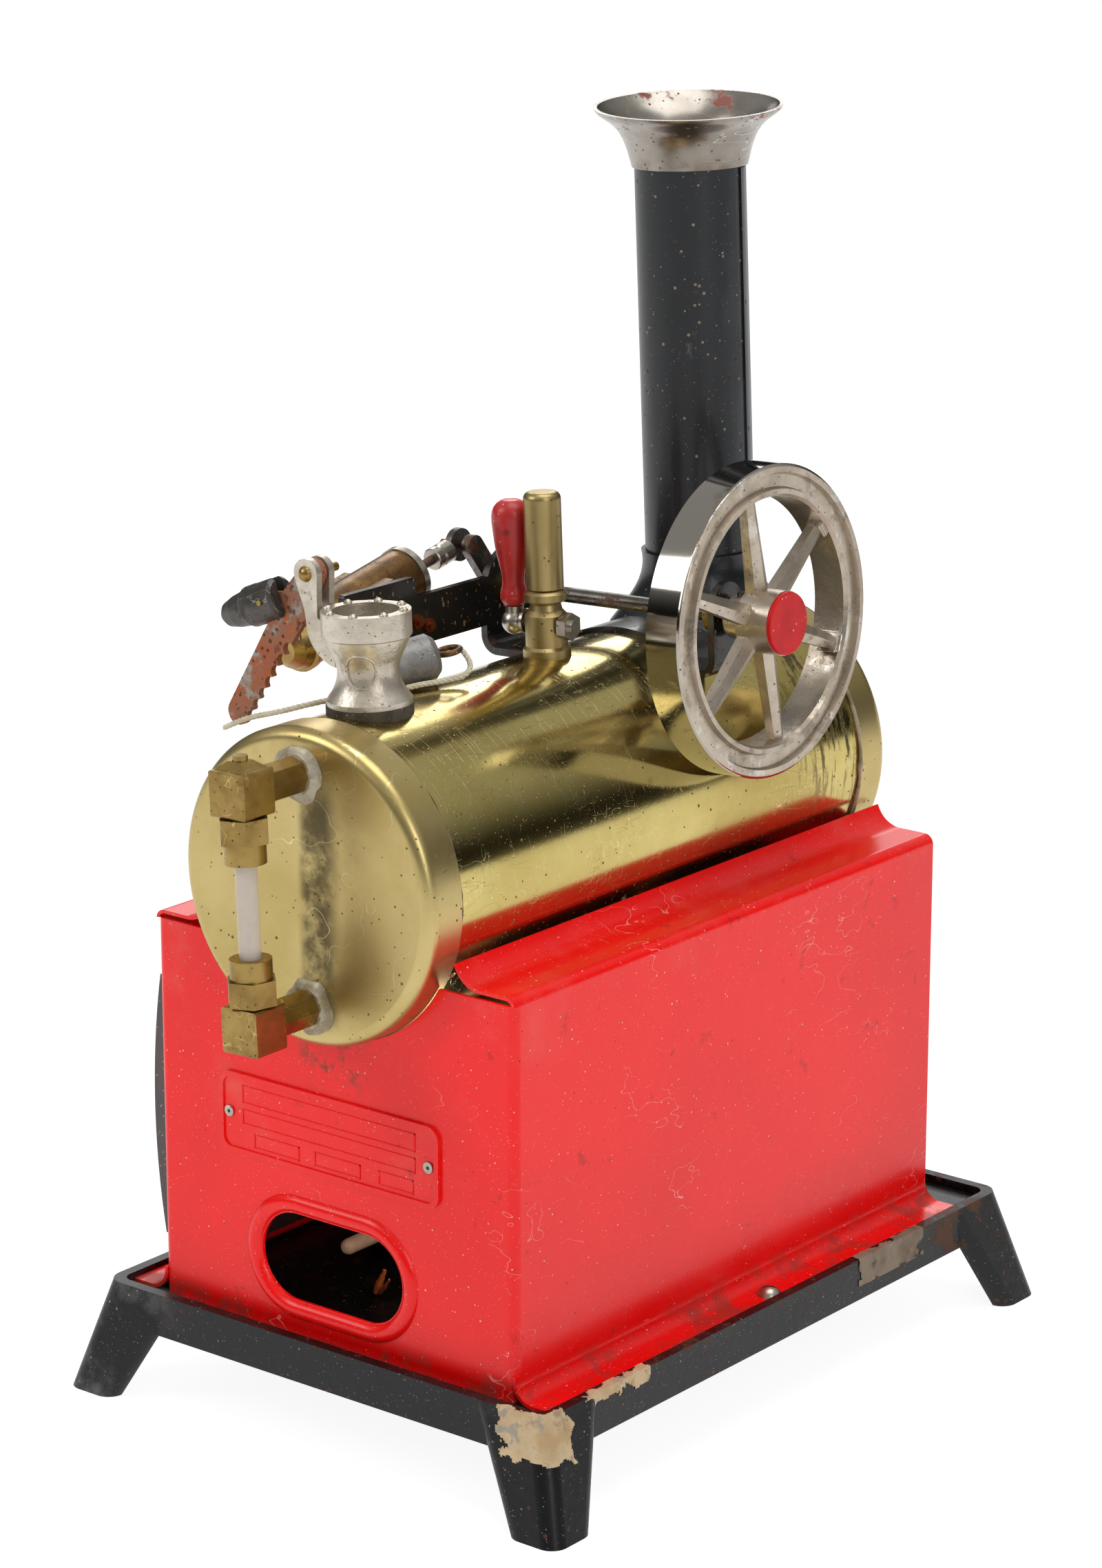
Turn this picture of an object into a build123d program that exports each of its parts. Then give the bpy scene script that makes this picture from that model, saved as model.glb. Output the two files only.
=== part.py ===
"""Model steam engine: brass boiler on a folded firebox, oscillating engine, lever safety valve, whistle.

Millimetres, +Z up, the front with the water gauge towards -Y. Each function makes one piece. The boiler and
everything on it is drawn upright, then turned about the boiler axis by BOILER_ROLL, as it sits.
"""

from build123d import *
from math import atan2, cos, degrees, hypot, pi, radians, sin, sqrt, tan
import os

os.makedirs("parts", exist_ok=True)

# Base casting
RIM_X, RIM_Y = 57.6, 78.9          # outer half sizes of the tray
RIM_TOP, RIM_HEIGHT, RIM_WALL = 25.8, 9.0, 2.3
PLATE_TOP, PLATE_THICK = 24.0, 2.4
FOOT_X, FOOT_Y, FOOT_SIZE = 64.7, 84.2, 12.6
GROUND = 2.0                        # height of the table in this drawing
LEG_TOP_SIZE, LEG_WALL = 19.0, 3.4

# Firebox
BOX_X, BOX_FRONT, BOX_BACK = 46.2, -73.2, 66.9
BOX_WALL_TOP, SHELF_Z = 104.4, 106.2
SHEET = 0.7
FLANGE_X = 55.0
HOLE_X, HOLE_Z, HOLE_LENGTH, HOLE_HEIGHT, BEAD_R = -0.6, 40.5, 36.8, 18.5, 2.05
PLATE_X0, PLATE_X1, PLATE_Z0, PLATE_Z1 = -29.4, 27.7, 59.3, 76.3
SCREW_X, SCREW_Y = 52.3, 1.4
ROD_PLACE = (-9.4, 38.2)            # X and Z of the heater rod

# Boiler
BOILER_R, BOILER_Z, BOILER_ROLL = 31.75, 120.7, 2.5
BOILER_FRONT, BOILER_BACK = -80.4, 70.2
SHELL_R, SHELL_WALL, CAP_WALL, CAP_SKIRT = 31.2, 0.8, 0.55, 9.5
BOILER_TOP = BOILER_Z + BOILER_R

# Water gauge
GAUGE_Y = -96.3
GAUGE_UP, GAUGE_LOW = 143.6, 97.2
ELBOW, BARREL_R, GLASS_R = 9.0, 3.9, 2.2

# Safety valve
VALVE_Y = -58.9
CUP_R, CUP_TOP, CUP_BORE = 8.85, 171.6, 6.6
LEVER_X, LEVER_Z = -11.8, 178.0
LEVER_LENGTH, LEVER_ANGLE, LEVER_WIDTH, LEVER_THICK = 39.7, 234.5, 7.4, 1.4
LEVER_Y = VALVE_Y - 1.2
PLUG_R, PLUG_LENGTH, PLUG_ANGLE = 4.15, 16.4, 200.0
PLUG_PIN = 12.6                     # from the lever pivot to the plug's pin
PLUG_PIN_ANGLE = 211.0

# Weight and string
WEIGHT_R, WEIGHT_LENGTH = 4.7, 16.0
STRING_D = 1.2

# Whistle
WHISTLE_Y = -4.0
SPINDLE_Z, BELL_R, WHISTLE_TOP = 158.4, 3.85, 185.6
HANDLE_X = -8.2

# Chimney
STACK_Y, STACK_R, STACK_WALL = 48.2, 11.55, 0.5
STACK_BOTTOM, FLARE_BOTTOM, FLARE_TOP, FLARE_R = 153.9, 245.3, 257.6, 19.75
FLARE_SKIRT = 1.7
FLARE_LEAN = (2.6, 2.5)             # the mouth is bent over towards the near corner, degrees

# Engine
FRAME_X, FRAME_SHEET = 28.0, 1.6    # middle of the upright plates from the boiler axis
SADDLE_SHEET = 1.1
SHAFT_Y, SHAFT_Z, SHAFT_R = 19.1, 158.7, 1.6
FIT = 0.05                          # radial clearance of every running fit
CRANK_R, CRANK_ANGLE = 12.0, 36.3   # throw, and its lean from +Z towards -Y at rest
WEB_X0, WEB_X1 = -33.2, -31.2
CRANK_PIN_R, CRANK_PIN_END, PIN_BREAK, PIN_TAIL_END = 0.8, -33.35, 0.25, -40.4
COUPLING_START, COUPLING_END = -8.9, -3.6   # from the eye, along the rod
CYL_X, CYL_R = -36.0, 6.5
PIVOT_Y, PIVOT_Z = -23.4, 161.0
WHEEL_R, WHEEL_RIM_IN, WHEEL_X0, WHEEL_X1 = 31.9, 25.3, 32.2, 40.2
HUB_R, HUB_X0, HUB_X1, SLEEVE_R, SPOKE_X = 6.6, 35.2, 43.0, 4.4, 37.3
SPOKES, SPOKE_PHASE = 6, -9.0

# The row's origin is under the middle of the bounding box.
GAUGE_REACH = GAUGE_Y - ELBOW / 2
ORIGIN_Y = -(GAUGE_REACH + FOOT_Y) / 2

# Places worked out from the sizes above
PIN_Y = SHAFT_Y - CRANK_R * sin(radians(CRANK_ANGLE))
PIN_Z = SHAFT_Z + CRANK_R * cos(radians(CRANK_ANGLE))
CYL_TILT = degrees(atan2(PIN_Z - PIVOT_Z, PIN_Y - PIVOT_Y))
PIN_REACH = hypot(PIN_Z - PIVOT_Z, PIN_Y - PIVOT_Y)

LOW = Align.MIN
MID = Align.CENTER


def bar_x(radius, x0, x1, y, z):
    """Round bar along X from x0 to x1."""
    return Pos(x0, y, z) * Rot(0, 90, 0) * Cylinder(radius, x1 - x0, align=(MID, MID, LOW))


def bar_y(radius, y0, y1, x, z):
    """Round bar along Y from y0 to y1."""
    return Pos(x, y0, z) * Rot(-90, 0, 0) * Cylinder(radius, y1 - y0, align=(MID, MID, LOW))


def bar_z(radius, z0, z1, x, y):
    """Round bar along Z from z0 to z1."""
    return Pos(x, y, z0) * Cylinder(radius, z1 - z0, align=(MID, MID, LOW))


def block(x0, x1, y0, y1, z0, z1):
    """Box between two corners."""
    return Pos(x0, y0, z0) * Box(x1 - x0, y1 - y0, z1 - z0, align=(LOW, LOW, LOW))


def turned(profile):
    """Solid of revolution about Z from (radius, height) corners."""
    return revolve(Plane.XZ * make_face(Polyline(*profile, close=True)), Axis.Z, 360)


def along_x(part, x, y, z):
    """Place a part turned about Z so that its axis runs along +X from (x, y, z)."""
    return Pos(x, y, z) * Rot(0, 90, 0) * part


def offset_line(points, radii, shift):
    """Rounded polyline beside the one through points, shifted to its left by shift."""
    moved, new_radii = [], []
    count = len(points)
    for i, (px, py) in enumerate(points):
        before = points[max(i - 1, 0)]
        after = points[min(i + 1, count - 1)]
        into = atan2(py - before[1], px - before[0]) if i else None
        out = atan2(after[1] - py, after[0] - px) if i < count - 1 else into
        into = out if into is None else into
        turn = (out - into + pi) % (2 * pi) - pi
        middle = into + turn / 2
        reach = shift / cos(turn / 2)
        moved.append((px - reach * sin(middle), py + reach * cos(middle)))
        if 0 < i < count - 1:
            new_radii.append(radii[i - 1] - shift * (1 if turn > 0 else -1))
    return FilletPolyline(*moved, radius=new_radii), moved[0], moved[-1]


def sheet_section(points, radii, thickness=SHEET):
    """Section of a bent sheet whose middle line runs through points with the given bend radii."""
    left, left_start, left_end = offset_line(points, radii, thickness / 2)
    right, right_start, right_end = offset_line(points, radii, -thickness / 2)
    return make_face(left + Line(left_end, right_end) + right + Line(left_start, right_start))


def slot_face(length, height, x, z):
    """Round-ended face in the XZ plane, centred at (x, z)."""
    return Plane.XZ * Pos(x, z) * SlotOverall(length, height)


# ---------------------------------------------------------------- base and firebox


def leg(sign_x, sign_y):
    """Tapered leg of angle section, open towards the middle of the base."""

    def square(size, corner_x, corner_y, z, radius):
        place = Pos(sign_x * (corner_x - size / 2), sign_y * (corner_y - size / 2), z)
        return place * RectangleRounded(size, size, radius)

    top = square(LEG_TOP_SIZE, RIM_X, RIM_Y, RIM_TOP, 4.0)
    bottom = square(FOOT_SIZE, FOOT_X, FOOT_Y, GROUND, 3.6)
    ceiling = PLATE_TOP - PLATE_THICK
    share = (ceiling - GROUND) / (RIM_TOP - GROUND)
    high_x = FOOT_X + (RIM_X - FOOT_X) * share - LEG_WALL
    high_y = FOOT_Y + (RIM_Y - FOOT_Y) * share - LEG_WALL
    low = square(14.0, FOOT_X - LEG_WALL, FOOT_Y - LEG_WALL, GROUND - 0.01, 2.0)
    return loft([bottom, top]) - loft([low, square(22.0, high_x, high_y, ceiling, 2.0)])


def base_casting():
    """Tray with a raised rim, hollow underneath, on four splayed legs."""
    outline = RectangleRounded(2 * RIM_X, 2 * RIM_Y, 4.0)
    inner = RectangleRounded(2 * (RIM_X - RIM_WALL), 2 * (RIM_Y - RIM_WALL), 2.5)
    tray = extrude(Pos(0, 0, RIM_TOP - RIM_HEIGHT) * outline, RIM_HEIGHT)
    under = PLATE_TOP - PLATE_THICK
    tray -= extrude(Pos(0, 0, RIM_TOP - RIM_HEIGHT) * inner, under - RIM_TOP + RIM_HEIGHT)
    for sign_x in (-1, 1):
        for sign_y in (-1, 1):
            tray += leg(sign_x, sign_y)
    tray -= extrude(Pos(0, 0, PLATE_TOP) * inner, RIM_TOP)
    for sign in (-1, 1):
        tray -= bar_z(1.3, under - 1, PLATE_TOP + 1, sign * SCREW_X, SCREW_Y)
    return tray


def side_section(sign):
    """XZ section of a side wall: flange, wall, shelf and the lip that the boiler rests against."""
    half = SHEET / 2
    wall = BOX_X - half
    middle = [(FLANGE_X, PLATE_TOP + half), (wall, PLATE_TOP + half), (wall, SHELF_Z - half)]
    middle += [(33.3, SHELF_Z - half), (31.6, SHELF_Z + 4.1)]
    return sheet_section([(sign * x, z) for x, z in middle], [4.2, 1.8, 6.5])


def firebox_shell():
    """Front wall and both side walls, folded from one sheet."""
    shell = None
    for sign in (-1, 1):
        side = extrude(Plane.XZ.offset(-BOX_FRONT) * side_section(sign), -(BOX_BACK - BOX_FRONT))
        low, high = sorted((sign * 38.0, sign * (BOX_X + 1)))
        side -= block(low, high, BOX_FRONT - 1, BOX_FRONT + 2.4, PLATE_TOP + 5.5, BOX_WALL_TOP)
        side -= bar_z(1.4, PLATE_TOP - 1, PLATE_TOP + 3, sign * SCREW_X, SCREW_Y)
        shell = side if shell is None else shell + side
    half = SHEET / 2
    plan = [(-BOX_X + half, BOX_FRONT + 8), (-BOX_X + half, BOX_FRONT + half)]
    plan += [(BOX_X - half, BOX_FRONT + half), (BOX_X - half, BOX_FRONT + 8)]
    front = extrude(Pos(0, 0, PLATE_TOP) * sheet_section(plan, [1.6, 1.6]), BOX_WALL_TOP - PLATE_TOP)
    front -= bar_y(BOILER_R + 0.3, BOX_FRONT - 5, BOX_FRONT + 5, 0, BOILER_Z)
    shell += front
    shell += stoke_bead()
    hole = slot_face(HOLE_LENGTH, HOLE_HEIGHT, HOLE_X, HOLE_Z)
    return shell - extrude(Pos(0, BOX_FRONT - 5, 0) * hole, -12)


def stoke_bead():
    """Rolled bead around the stoke hole, standing out of the front wall."""
    radius = HOLE_HEIGHT / 2 + BEAD_R
    half = (HOLE_LENGTH - HOLE_HEIGHT) / 2
    y = BOX_FRONT + 0.9
    bead = None
    for sign in (-1, 1):
        end_x = HOLE_X + sign * half
        turn = Pos(end_x, y, HOLE_Z) * Rot(90, 0, 0) * Torus(radius, BEAD_R)
        keep = block(min(end_x, end_x + sign * 20), max(end_x, end_x + sign * 20), y - 5, y + 5, 20, 60)
        straight = bar_x(BEAD_R, HOLE_X - half, HOLE_X + half, y, HOLE_Z + sign * radius)
        piece = (turn & keep) + straight
        bead = piece if bead is None else bead + piece
    return bead - block(-40, 40, BOX_FRONT + SHEET, BOX_FRONT + 8, 20, 60)


def firebox_back():
    """Rear wall with tabs folded forward inside the side walls."""
    half = SHEET / 2
    inside = BOX_X - SHEET - 0.05 - half
    tab, back = BOX_BACK - 7, BOX_BACK - half
    plan = [(-inside, tab), (-inside, back), (inside, back), (inside, tab)]
    bottom = PLATE_TOP + 1.2
    wall = extrude(Pos(0, 0, bottom) * sheet_section(plan, [1.4, 1.4]), BOX_WALL_TOP - bottom)
    wall -= bar_y(BOILER_R + 0.3, BOX_BACK - 9, BOX_BACK + 5, 0, BOILER_Z)
    for sign in (-1, 1):
        low, high = sorted((sign * (inside - 4.6), sign * (BOX_X + 1)))
        wall -= block(low, high, BOX_BACK - 9, BOX_BACK + 1, PLATE_TOP, PLATE_TOP + 6)
    return wall


def flange_screws():
    """Slotted round-head screws, one through each side flange."""
    screws = []
    top = PLATE_TOP + SHEET
    for sign in (-1, 1):
        dome = Pos(0, 0, top - 1.2) * Sphere(2.95) & block(-3, 3, -3, 3, top, top + 2)
        head = dome - block(-3, 3, -0.35, 0.35, top + 1.1, top + 3)
        shank = bar_z(1.2, PLATE_TOP - PLATE_THICK - 1.4, top + 0.2, 0, 0)
        screws.append(Pos(sign * SCREW_X, SCREW_Y, 0) * Rot(0, 0, 35) * (head + shank))
    return Compound(screws)


def nameplate():
    """Blank plate with a raised border."""
    width, height = PLATE_X1 - PLATE_X0, PLATE_Z1 - PLATE_Z0
    centre = Pos((PLATE_X0 + PLATE_X1) / 2, BOX_FRONT, (PLATE_Z0 + PLATE_Z1) / 2) * Rot(90, 0, 0)
    plate = extrude(centre * RectangleRounded(width, height, 3.0), 0.35)
    border = RectangleRounded(width, height, 3.0) - RectangleRounded(width - 2.2, height - 2.2, 2.0)
    plate += extrude(centre * border, 0.75)
    middle = (PLATE_Z0 + PLATE_Z1) / 2
    for x in (PLATE_X0 + 2.6, PLATE_X1 - 2.6):
        plate -= bar_y(0.75, BOX_FRONT - 2, BOX_FRONT, x, middle)
    return plate


def nameplate_rivets():
    """Hollow rivets at the ends of the plate."""
    middle = (PLATE_Z0 + PLATE_Z1) / 2
    rivets = []
    for x in (PLATE_X0 + 2.6, PLATE_X1 - 2.6):
        shank = bar_y(0.7, BOX_FRONT - 0.4, BOX_FRONT, x, middle)
        head = bar_y(1.15, BOX_FRONT - 0.75, BOX_FRONT - 0.36, x, middle)
        rivets.append(shank + head - bar_y(0.4, BOX_FRONT - 1, BOX_FRONT - 0.2, x, middle))
    return Compound(rivets)


def heat_shield():
    """Bent sheet inside the firebox, behind the heater rod."""
    plan = [(-31, -20), (-1.5, -34), (-1.5, 40)]
    shield = extrude(Pos(0, 0, PLATE_TOP) * sheet_section(plan, [2.5]), 47.0)
    return shield - bar_y(1.65 + FIT, -60, 0, *ROD_PLACE)


def heater_element():
    """Flat ceramic element under the boiler."""
    body = block(-12, 12, -48, 44, 78.6, 85.6)
    return fillet(body.edges().filter_by(Axis.Z), 2.5)


def heater_strap():
    """Strap that carries the element and hooks over the side shelves' lower bends."""
    half = SHEET / 2
    run = [(-44.6, 92), (-44.6, 78.2), (44.6, 78.2), (44.6, 92)]
    straps = []
    for y in (-34.0, 26.0):
        section = sheet_section([(x, z) for x, z in run], [2.0, 2.0])
        straps.append(extrude(Plane.XZ.offset(-y) * section, -9.0))
    return Compound(straps)


def heater_rod():
    """Ceramic rod with a rounded end, lying front to back."""
    x, z = ROD_PLACE
    rod = bar_y(1.65, -58.0, -24.0, x, z)
    return rod + Pos(x, -58.0, z) * Sphere(1.65)


def terminal_block():
    """Ceramic block through the left wall, holding the heater's pins."""
    body = block(-52.2, -BOX_X, -56, -30, 42, 62)
    return fillet(body.edges().filter_by(Axis.X), 2.5)


def terminal_pins():
    """Two round pins for the heater plug."""
    pins = []
    for z in (46.5, 57.5):
        pin = bar_x(1.6, -57.0, -52.2, -43, z) + Pos(-57.0, -43, z) * Sphere(1.6)
        pins.append(pin)
    return Compound(pins)


def terminal_guard():
    """Bowed sheet strip standing off the left wall in front of the pins."""
    wall, edge, bulge, low, high = -BOX_X, -57.2, -59.6, 30.5, 87.0
    bow = make_face(
        Line((wall, low), (edge, low))
        + ThreePointArc((edge, low), (bulge, (low + high) / 2), (edge, high))
        + Line((edge, high), (wall, high))
        + Line((wall, high), (wall, low))
    )
    return extrude(Plane.XZ.offset(61.0) * bow, -1.0)


# ---------------------------------------------------------------- boiler and gauge


def cap(front):
    """Pressed cap with a rounded edge, drawn over the end of the shell."""
    outer = Cylinder(BOILER_R, CAP_SKIRT, align=(MID, MID, LOW))
    outer = fillet(outer.edges().group_by(Axis.Z)[-1], 2.6)
    inner = Cylinder(BOILER_R - CAP_WALL, CAP_SKIRT - CAP_WALL, align=(MID, MID, LOW))
    inner = fillet(inner.edges().group_by(Axis.Z)[-1], 2.1)
    body = outer - inner
    if front:
        return Pos(0, BOILER_FRONT + CAP_SKIRT, BOILER_Z) * Rot(90, 0, 0) * body
    return Pos(0, BOILER_BACK - CAP_SKIRT, BOILER_Z) * Rot(-90, 0, 0) * body


def boiler_shell():
    """Rolled brass tube with holes for the fittings."""
    y0, y1 = BOILER_FRONT + 3.2, BOILER_BACK - 3.2
    tube = bar_y(SHELL_R, y0, y1, 0, BOILER_Z) - bar_y(SHELL_R - SHELL_WALL, y0 - 1, y1 + 1, 0, BOILER_Z)
    for y, radius in ((VALVE_Y, 2.4), (WHISTLE_Y, 1.6)):
        tube -= bar_z(radius, BOILER_Z, BOILER_TOP + 5, 0, y)
    return tube


def boiler_front_cap():
    """Front cap with two holes for the gauge fittings."""
    body = cap(True)
    for z in (GAUGE_UP, GAUGE_LOW):
        body -= bar_y(1.6, BOILER_FRONT - 1, BOILER_FRONT + 3, 0, z)
    return body


def gauge_elbow(z, upper):
    """Square elbow block on an octagonal barrel that screws into the boiler cap."""
    half = ELBOW / 2
    body = block(-half, half, GAUGE_Y - half, GAUGE_Y + half, z - half, z + half)
    body = chamfer(body.edges(), 0.35)
    barrel = RegularPolygon(BARREL_R, 8)
    place = Pos(0, BOILER_FRONT, z) * Rot(90, 0, 0)
    body += extrude(place * barrel, BOILER_FRONT - GAUGE_Y)
    body += bar_y(3.1, BOILER_FRONT - 1.6, BOILER_FRONT, 0, z)
    body += bar_y(1.55, BOILER_FRONT, BOILER_FRONT + 3.5, 0, z)
    if upper:
        eaves = Pos(0, GAUGE_Y, z + half - 0.4) * Rectangle(8.2, 8.2)
        ridge = Pos(0, GAUGE_Y, z + half + 1.6) * Rectangle(3.4, 3.4)
        body += loft([eaves, ridge])
        body += bar_z(1.5, z + half + 1.2, z + half + 2.6, 0, GAUGE_Y)
    down = -1 if upper else 1
    low, high = sorted((z, z + down * (half + 2.0)))
    body += bar_z(3.3, low, high, 0, GAUGE_Y)
    low, high = sorted((z, z + down * (half + 3.0)))
    body -= bar_z(GLASS_R + 0.02, low, high, 0, GAUGE_Y)
    body -= bar_y(1.1, GAUGE_Y, BOILER_FRONT + 4, 0, z)
    return body


def gauge_elbows():
    """The upper and the lower elbow."""
    return Compound([gauge_elbow(GAUGE_UP, True), gauge_elbow(GAUGE_LOW, False)])


def gauge_nut(z, upper):
    """Hexagon nut with a round gland collar, gripping the glass."""
    down = -1 if upper else 1
    start = z + down * (ELBOW / 2 + 0.3)
    low, high = sorted((start, start + down * 5.0))
    body = extrude(Pos(0, GAUGE_Y, low) * Rot(0, 0, 15) * RegularPolygon(5.2, 6), high - low)
    low2, high2 = sorted((start + down * 4.8, start + down * 9.0))
    body += bar_z(4.15, low2, high2, 0, GAUGE_Y)
    body -= bar_z(GLASS_R + 0.02, min(low, low2) - 1, max(high, high2) + 1, 0, GAUGE_Y)
    low, high = sorted((start - down * 1, start + down * 2.2))
    return body - bar_z(3.35, low, high, 0, GAUGE_Y)


def gauge_nuts():
    """The nuts that grip the two ends of the glass."""
    return Compound([gauge_nut(GAUGE_UP, True), gauge_nut(GAUGE_LOW, False)])


def gauge_glass():
    """Glass tube between the two elbows."""
    z0, z1 = GAUGE_LOW + 0.5, GAUGE_UP - 0.5
    return bar_z(GLASS_R, z0, z1, 0, GAUGE_Y) - bar_z(GLASS_R - 0.75, z0 - 1, z1 + 1, 0, GAUGE_Y)


def gauge_seals():
    """Rubber rings packed around the glass inside the nuts."""
    rings = []
    for z0 in (GAUGE_UP - ELBOW / 2 - 2.5 - 0.0, GAUGE_LOW + ELBOW / 2 + 2.1):
        ring = bar_z(3.2, z0, z0 + 0.4, 0, GAUGE_Y) - bar_z(GLASS_R + 0.02, z0 - 1, z0 + 2, 0, GAUGE_Y)
        rings.append(ring)
    return Compound(rings)


def gauge_drain_plug():
    """Small screw plug under the lower elbow."""
    z = GAUGE_LOW - ELBOW / 2
    slot = block(-2, 2, GAUGE_Y - 0.25, GAUGE_Y + 0.25, z - 1.3, z - 0.7)
    return bar_z(1.5, z - 1.2, z, 0, GAUGE_Y) - slot


# ---------------------------------------------------------------- safety valve


def on_boiler(part, clearance=0.0):
    """Trim the underside of a fitting to the boiler's curve."""
    return part - bar_y(SHELL_R + clearance, BOILER_FRONT, BOILER_BACK, 0, BOILER_Z)


def valve_gasket():
    """Dark packing ring between the valve and the boiler."""
    top = SHELL_R + BOILER_Z + 1.2
    ring = bar_z(8.6, BOILER_TOP - 6, top, 0, VALVE_Y) - bar_z(2.6, 140, 160, 0, VALVE_Y)
    return on_boiler(ring)


def valve_body():
    """Cast pedestal with a waist, a deep cup and a forked arm on its left."""
    foot = SHELL_R + BOILER_Z + 1.2
    waist = [(7.8, foot + 1.9), (6.6, foot + 4.0), (6.1, foot + 7.0), (7.5, foot + 11.0), (8.5, foot + 13.3)]
    outer = make_face(
        Polyline((0, foot), (8.4, foot), (8.4, foot + 1.0), (7.8, foot + 1.9))
        + Spline(*waist)
        + Polyline((8.5, foot + 13.3), (CUP_R, foot + 13.6), (CUP_R, CUP_TOP), (0, CUP_TOP), (0, foot))
    )
    body = revolve(Plane.XZ * outer, Axis.Z, 360)
    body -= Pos(0, 0, CUP_TOP - 9.5) * Cylinder(CUP_BORE, 20, align=(MID, MID, LOW))
    body -= Pos(0, 0, foot - 1) * Cylinder(1.6, 30, align=(MID, MID, LOW))
    body = Pos(0, VALVE_Y, 0) * body
    return body + valve_arm()


def valve_arm():
    """Curved arm from the cup's left side, forked around the lever."""
    x1, z1 = LEVER_X, LEVER_Z
    outer_side = [(x1 - 3.0, z1), (-13.7, 174.3), (-12.4, 170.4), (-11.9, 166.4), (-9.6, 162.6), (-5.0, 160.2)]
    path_face = make_face(
        Line((-6.9, 168.5), (-9.2, 169.5))
        + Spline((-9.2, 169.5), (-9.1, 173.5), (x1 + 3.0, z1))
        + ThreePointArc((x1 + 3.0, z1), (x1, z1 + 3.0), (x1 - 3.0, z1))
        + Spline(*outer_side)
        + Line((-5.0, 160.2), (-6.9, 168.5))
    )
    arm = extrude(Plane.XZ.offset(-(LEVER_Y - 2.6)) * path_face, -5.2)
    gap = LEVER_THICK / 2 + 0.35
    slot = block(x1 - 12, x1 + 10, LEVER_Y - gap, LEVER_Y + gap, 169.6, z1 + 8)
    arm -= slot
    arm -= bar_y(0.95, LEVER_Y - 4, LEVER_Y + 4, x1, z1)
    keep_out = bar_z(CUP_BORE, CUP_TOP - 9.5, CUP_TOP + 1, 0, VALVE_Y)
    return arm - keep_out


def valve_rim_bolts():
    """Eight round studs around the rim of the cup."""
    studs = []
    for i in range(8):
        angle = radians(22.5 + 45 * i)
        x, y = 7.75 * cos(angle), VALVE_Y + 7.75 * sin(angle)
        above = block(x - 2, x + 2, y - 2, y + 2, CUP_TOP, CUP_TOP + 3)
        studs.append(Pos(x, y, CUP_TOP - 0.15) * Sphere(0.95) & above)
    return Compound(studs)


def valve_pivot_rivet():
    """Brass rivet through the fork and the lever."""
    dome = Pos(LEVER_X, LEVER_Y - 2.6 + 0.6, LEVER_Z) * Sphere(1.7)
    dome &= block(LEVER_X - 3, LEVER_X + 3, LEVER_Y - 5, LEVER_Y - 2.6, LEVER_Z - 3, LEVER_Z + 3)
    tail = bar_y(0.9, LEVER_Y - 2.7, LEVER_Y + 6.4, LEVER_X, LEVER_Z)
    return dome + tail


def lever_point(along, across):
    """Point of the lever's plane: along its length from the pivot, across to its notched side."""
    a = radians(LEVER_ANGLE)
    x = LEVER_X + along * cos(a) - across * sin(a)
    z = LEVER_Z + along * sin(a) + across * cos(a)
    return (x, z)


def valve_lever():
    """Flat rusty lever with scalloped notches along the outer half and a prong for the plug."""
    half = LEVER_WIDTH / 2
    tip = lever_point(LEVER_LENGTH, 0.6)
    blade = make_face(
        Polyline(lever_point(0, half - 1), lever_point(10, half), lever_point(36.4, half - 0.9))
        + ThreePointArc(lever_point(36.4, half - 0.9), tip, lever_point(37.0, -half + 1.2))
        + Polyline(lever_point(37.0, -half + 1.2), lever_point(8, -half), lever_point(0, -half + 1.0))
        + ThreePointArc(lever_point(0, -half + 1.0), lever_point(-2.7, 0), lever_point(0, half - 1))
    )
    blade = extrude(Plane.XZ.offset(-(LEVER_Y - LEVER_THICK / 2)) * blade, -LEVER_THICK)
    y0, y1 = LEVER_Y - 2, LEVER_Y + 2
    for i in range(7):
        x, z = lever_point(17.2 + 3.05 * i, half - 0.1)
        blade -= bar_y(1.42, y0, y1, x, z)
    blade += lever_prong()
    return blade - bar_y(0.9 + FIT, y0, y1, LEVER_X, LEVER_Z)


def plug_pin_place():
    """Place of the plug's cross pin in XZ."""
    a = radians(PLUG_PIN_ANGLE)
    return LEVER_X + PLUG_PIN * cos(a), LEVER_Z + PLUG_PIN * sin(a)


def lever_prong():
    """Short tab on the upper edge of the lever, ending in an eye for the plug's pin."""
    px, pz = plug_pin_place()
    x0, z0 = lever_point(8.0, -1.0)
    reach = hypot(px - x0, pz - z0)
    tilt = degrees(atan2(pz - z0, px - x0))
    tab = Pos(x0, LEVER_Y, z0) * Rot(0, -tilt, 0) * Pos(reach / 2, 0, 0) * Box(reach, LEVER_THICK, 3.0)
    eye = bar_y(1.5, LEVER_Y - LEVER_THICK / 2, LEVER_Y + LEVER_THICK / 2, px, pz)
    return tab + eye - bar_y(0.6, LEVER_Y - 2, LEVER_Y + 2, px, pz)


def valve_plug():
    """Bullet-shaped plug, slotted at the back for the lever's prong."""
    px, pz = plug_pin_place()
    back = 2.6
    r = PLUG_R
    nose = PLUG_LENGTH
    barrel = [(0, 0), (r - 0.7, 0), (r, 0.7), (r, 8.6)]
    taper = [(r - 0.5, 9.4), (r - 0.9, 12.6), (r - 1.6, nose - 1.2), (r - 2.6, nose), (0, nose)]
    body = turned(barrel + taper)
    body -= Pos(0, 0, -1) * Box(2 * r + 2, LEVER_THICK + 0.7, 7.4, align=(MID, MID, LOW))
    body -= Pos(0, 0, back) * Rot(90, 0, 0) * Cylinder(0.56, 20)
    body = Pos(0, 0, -back) * body
    return Pos(px, LEVER_Y, pz) * Rot(0, 90 - PLUG_ANGLE, 0) * body


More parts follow.
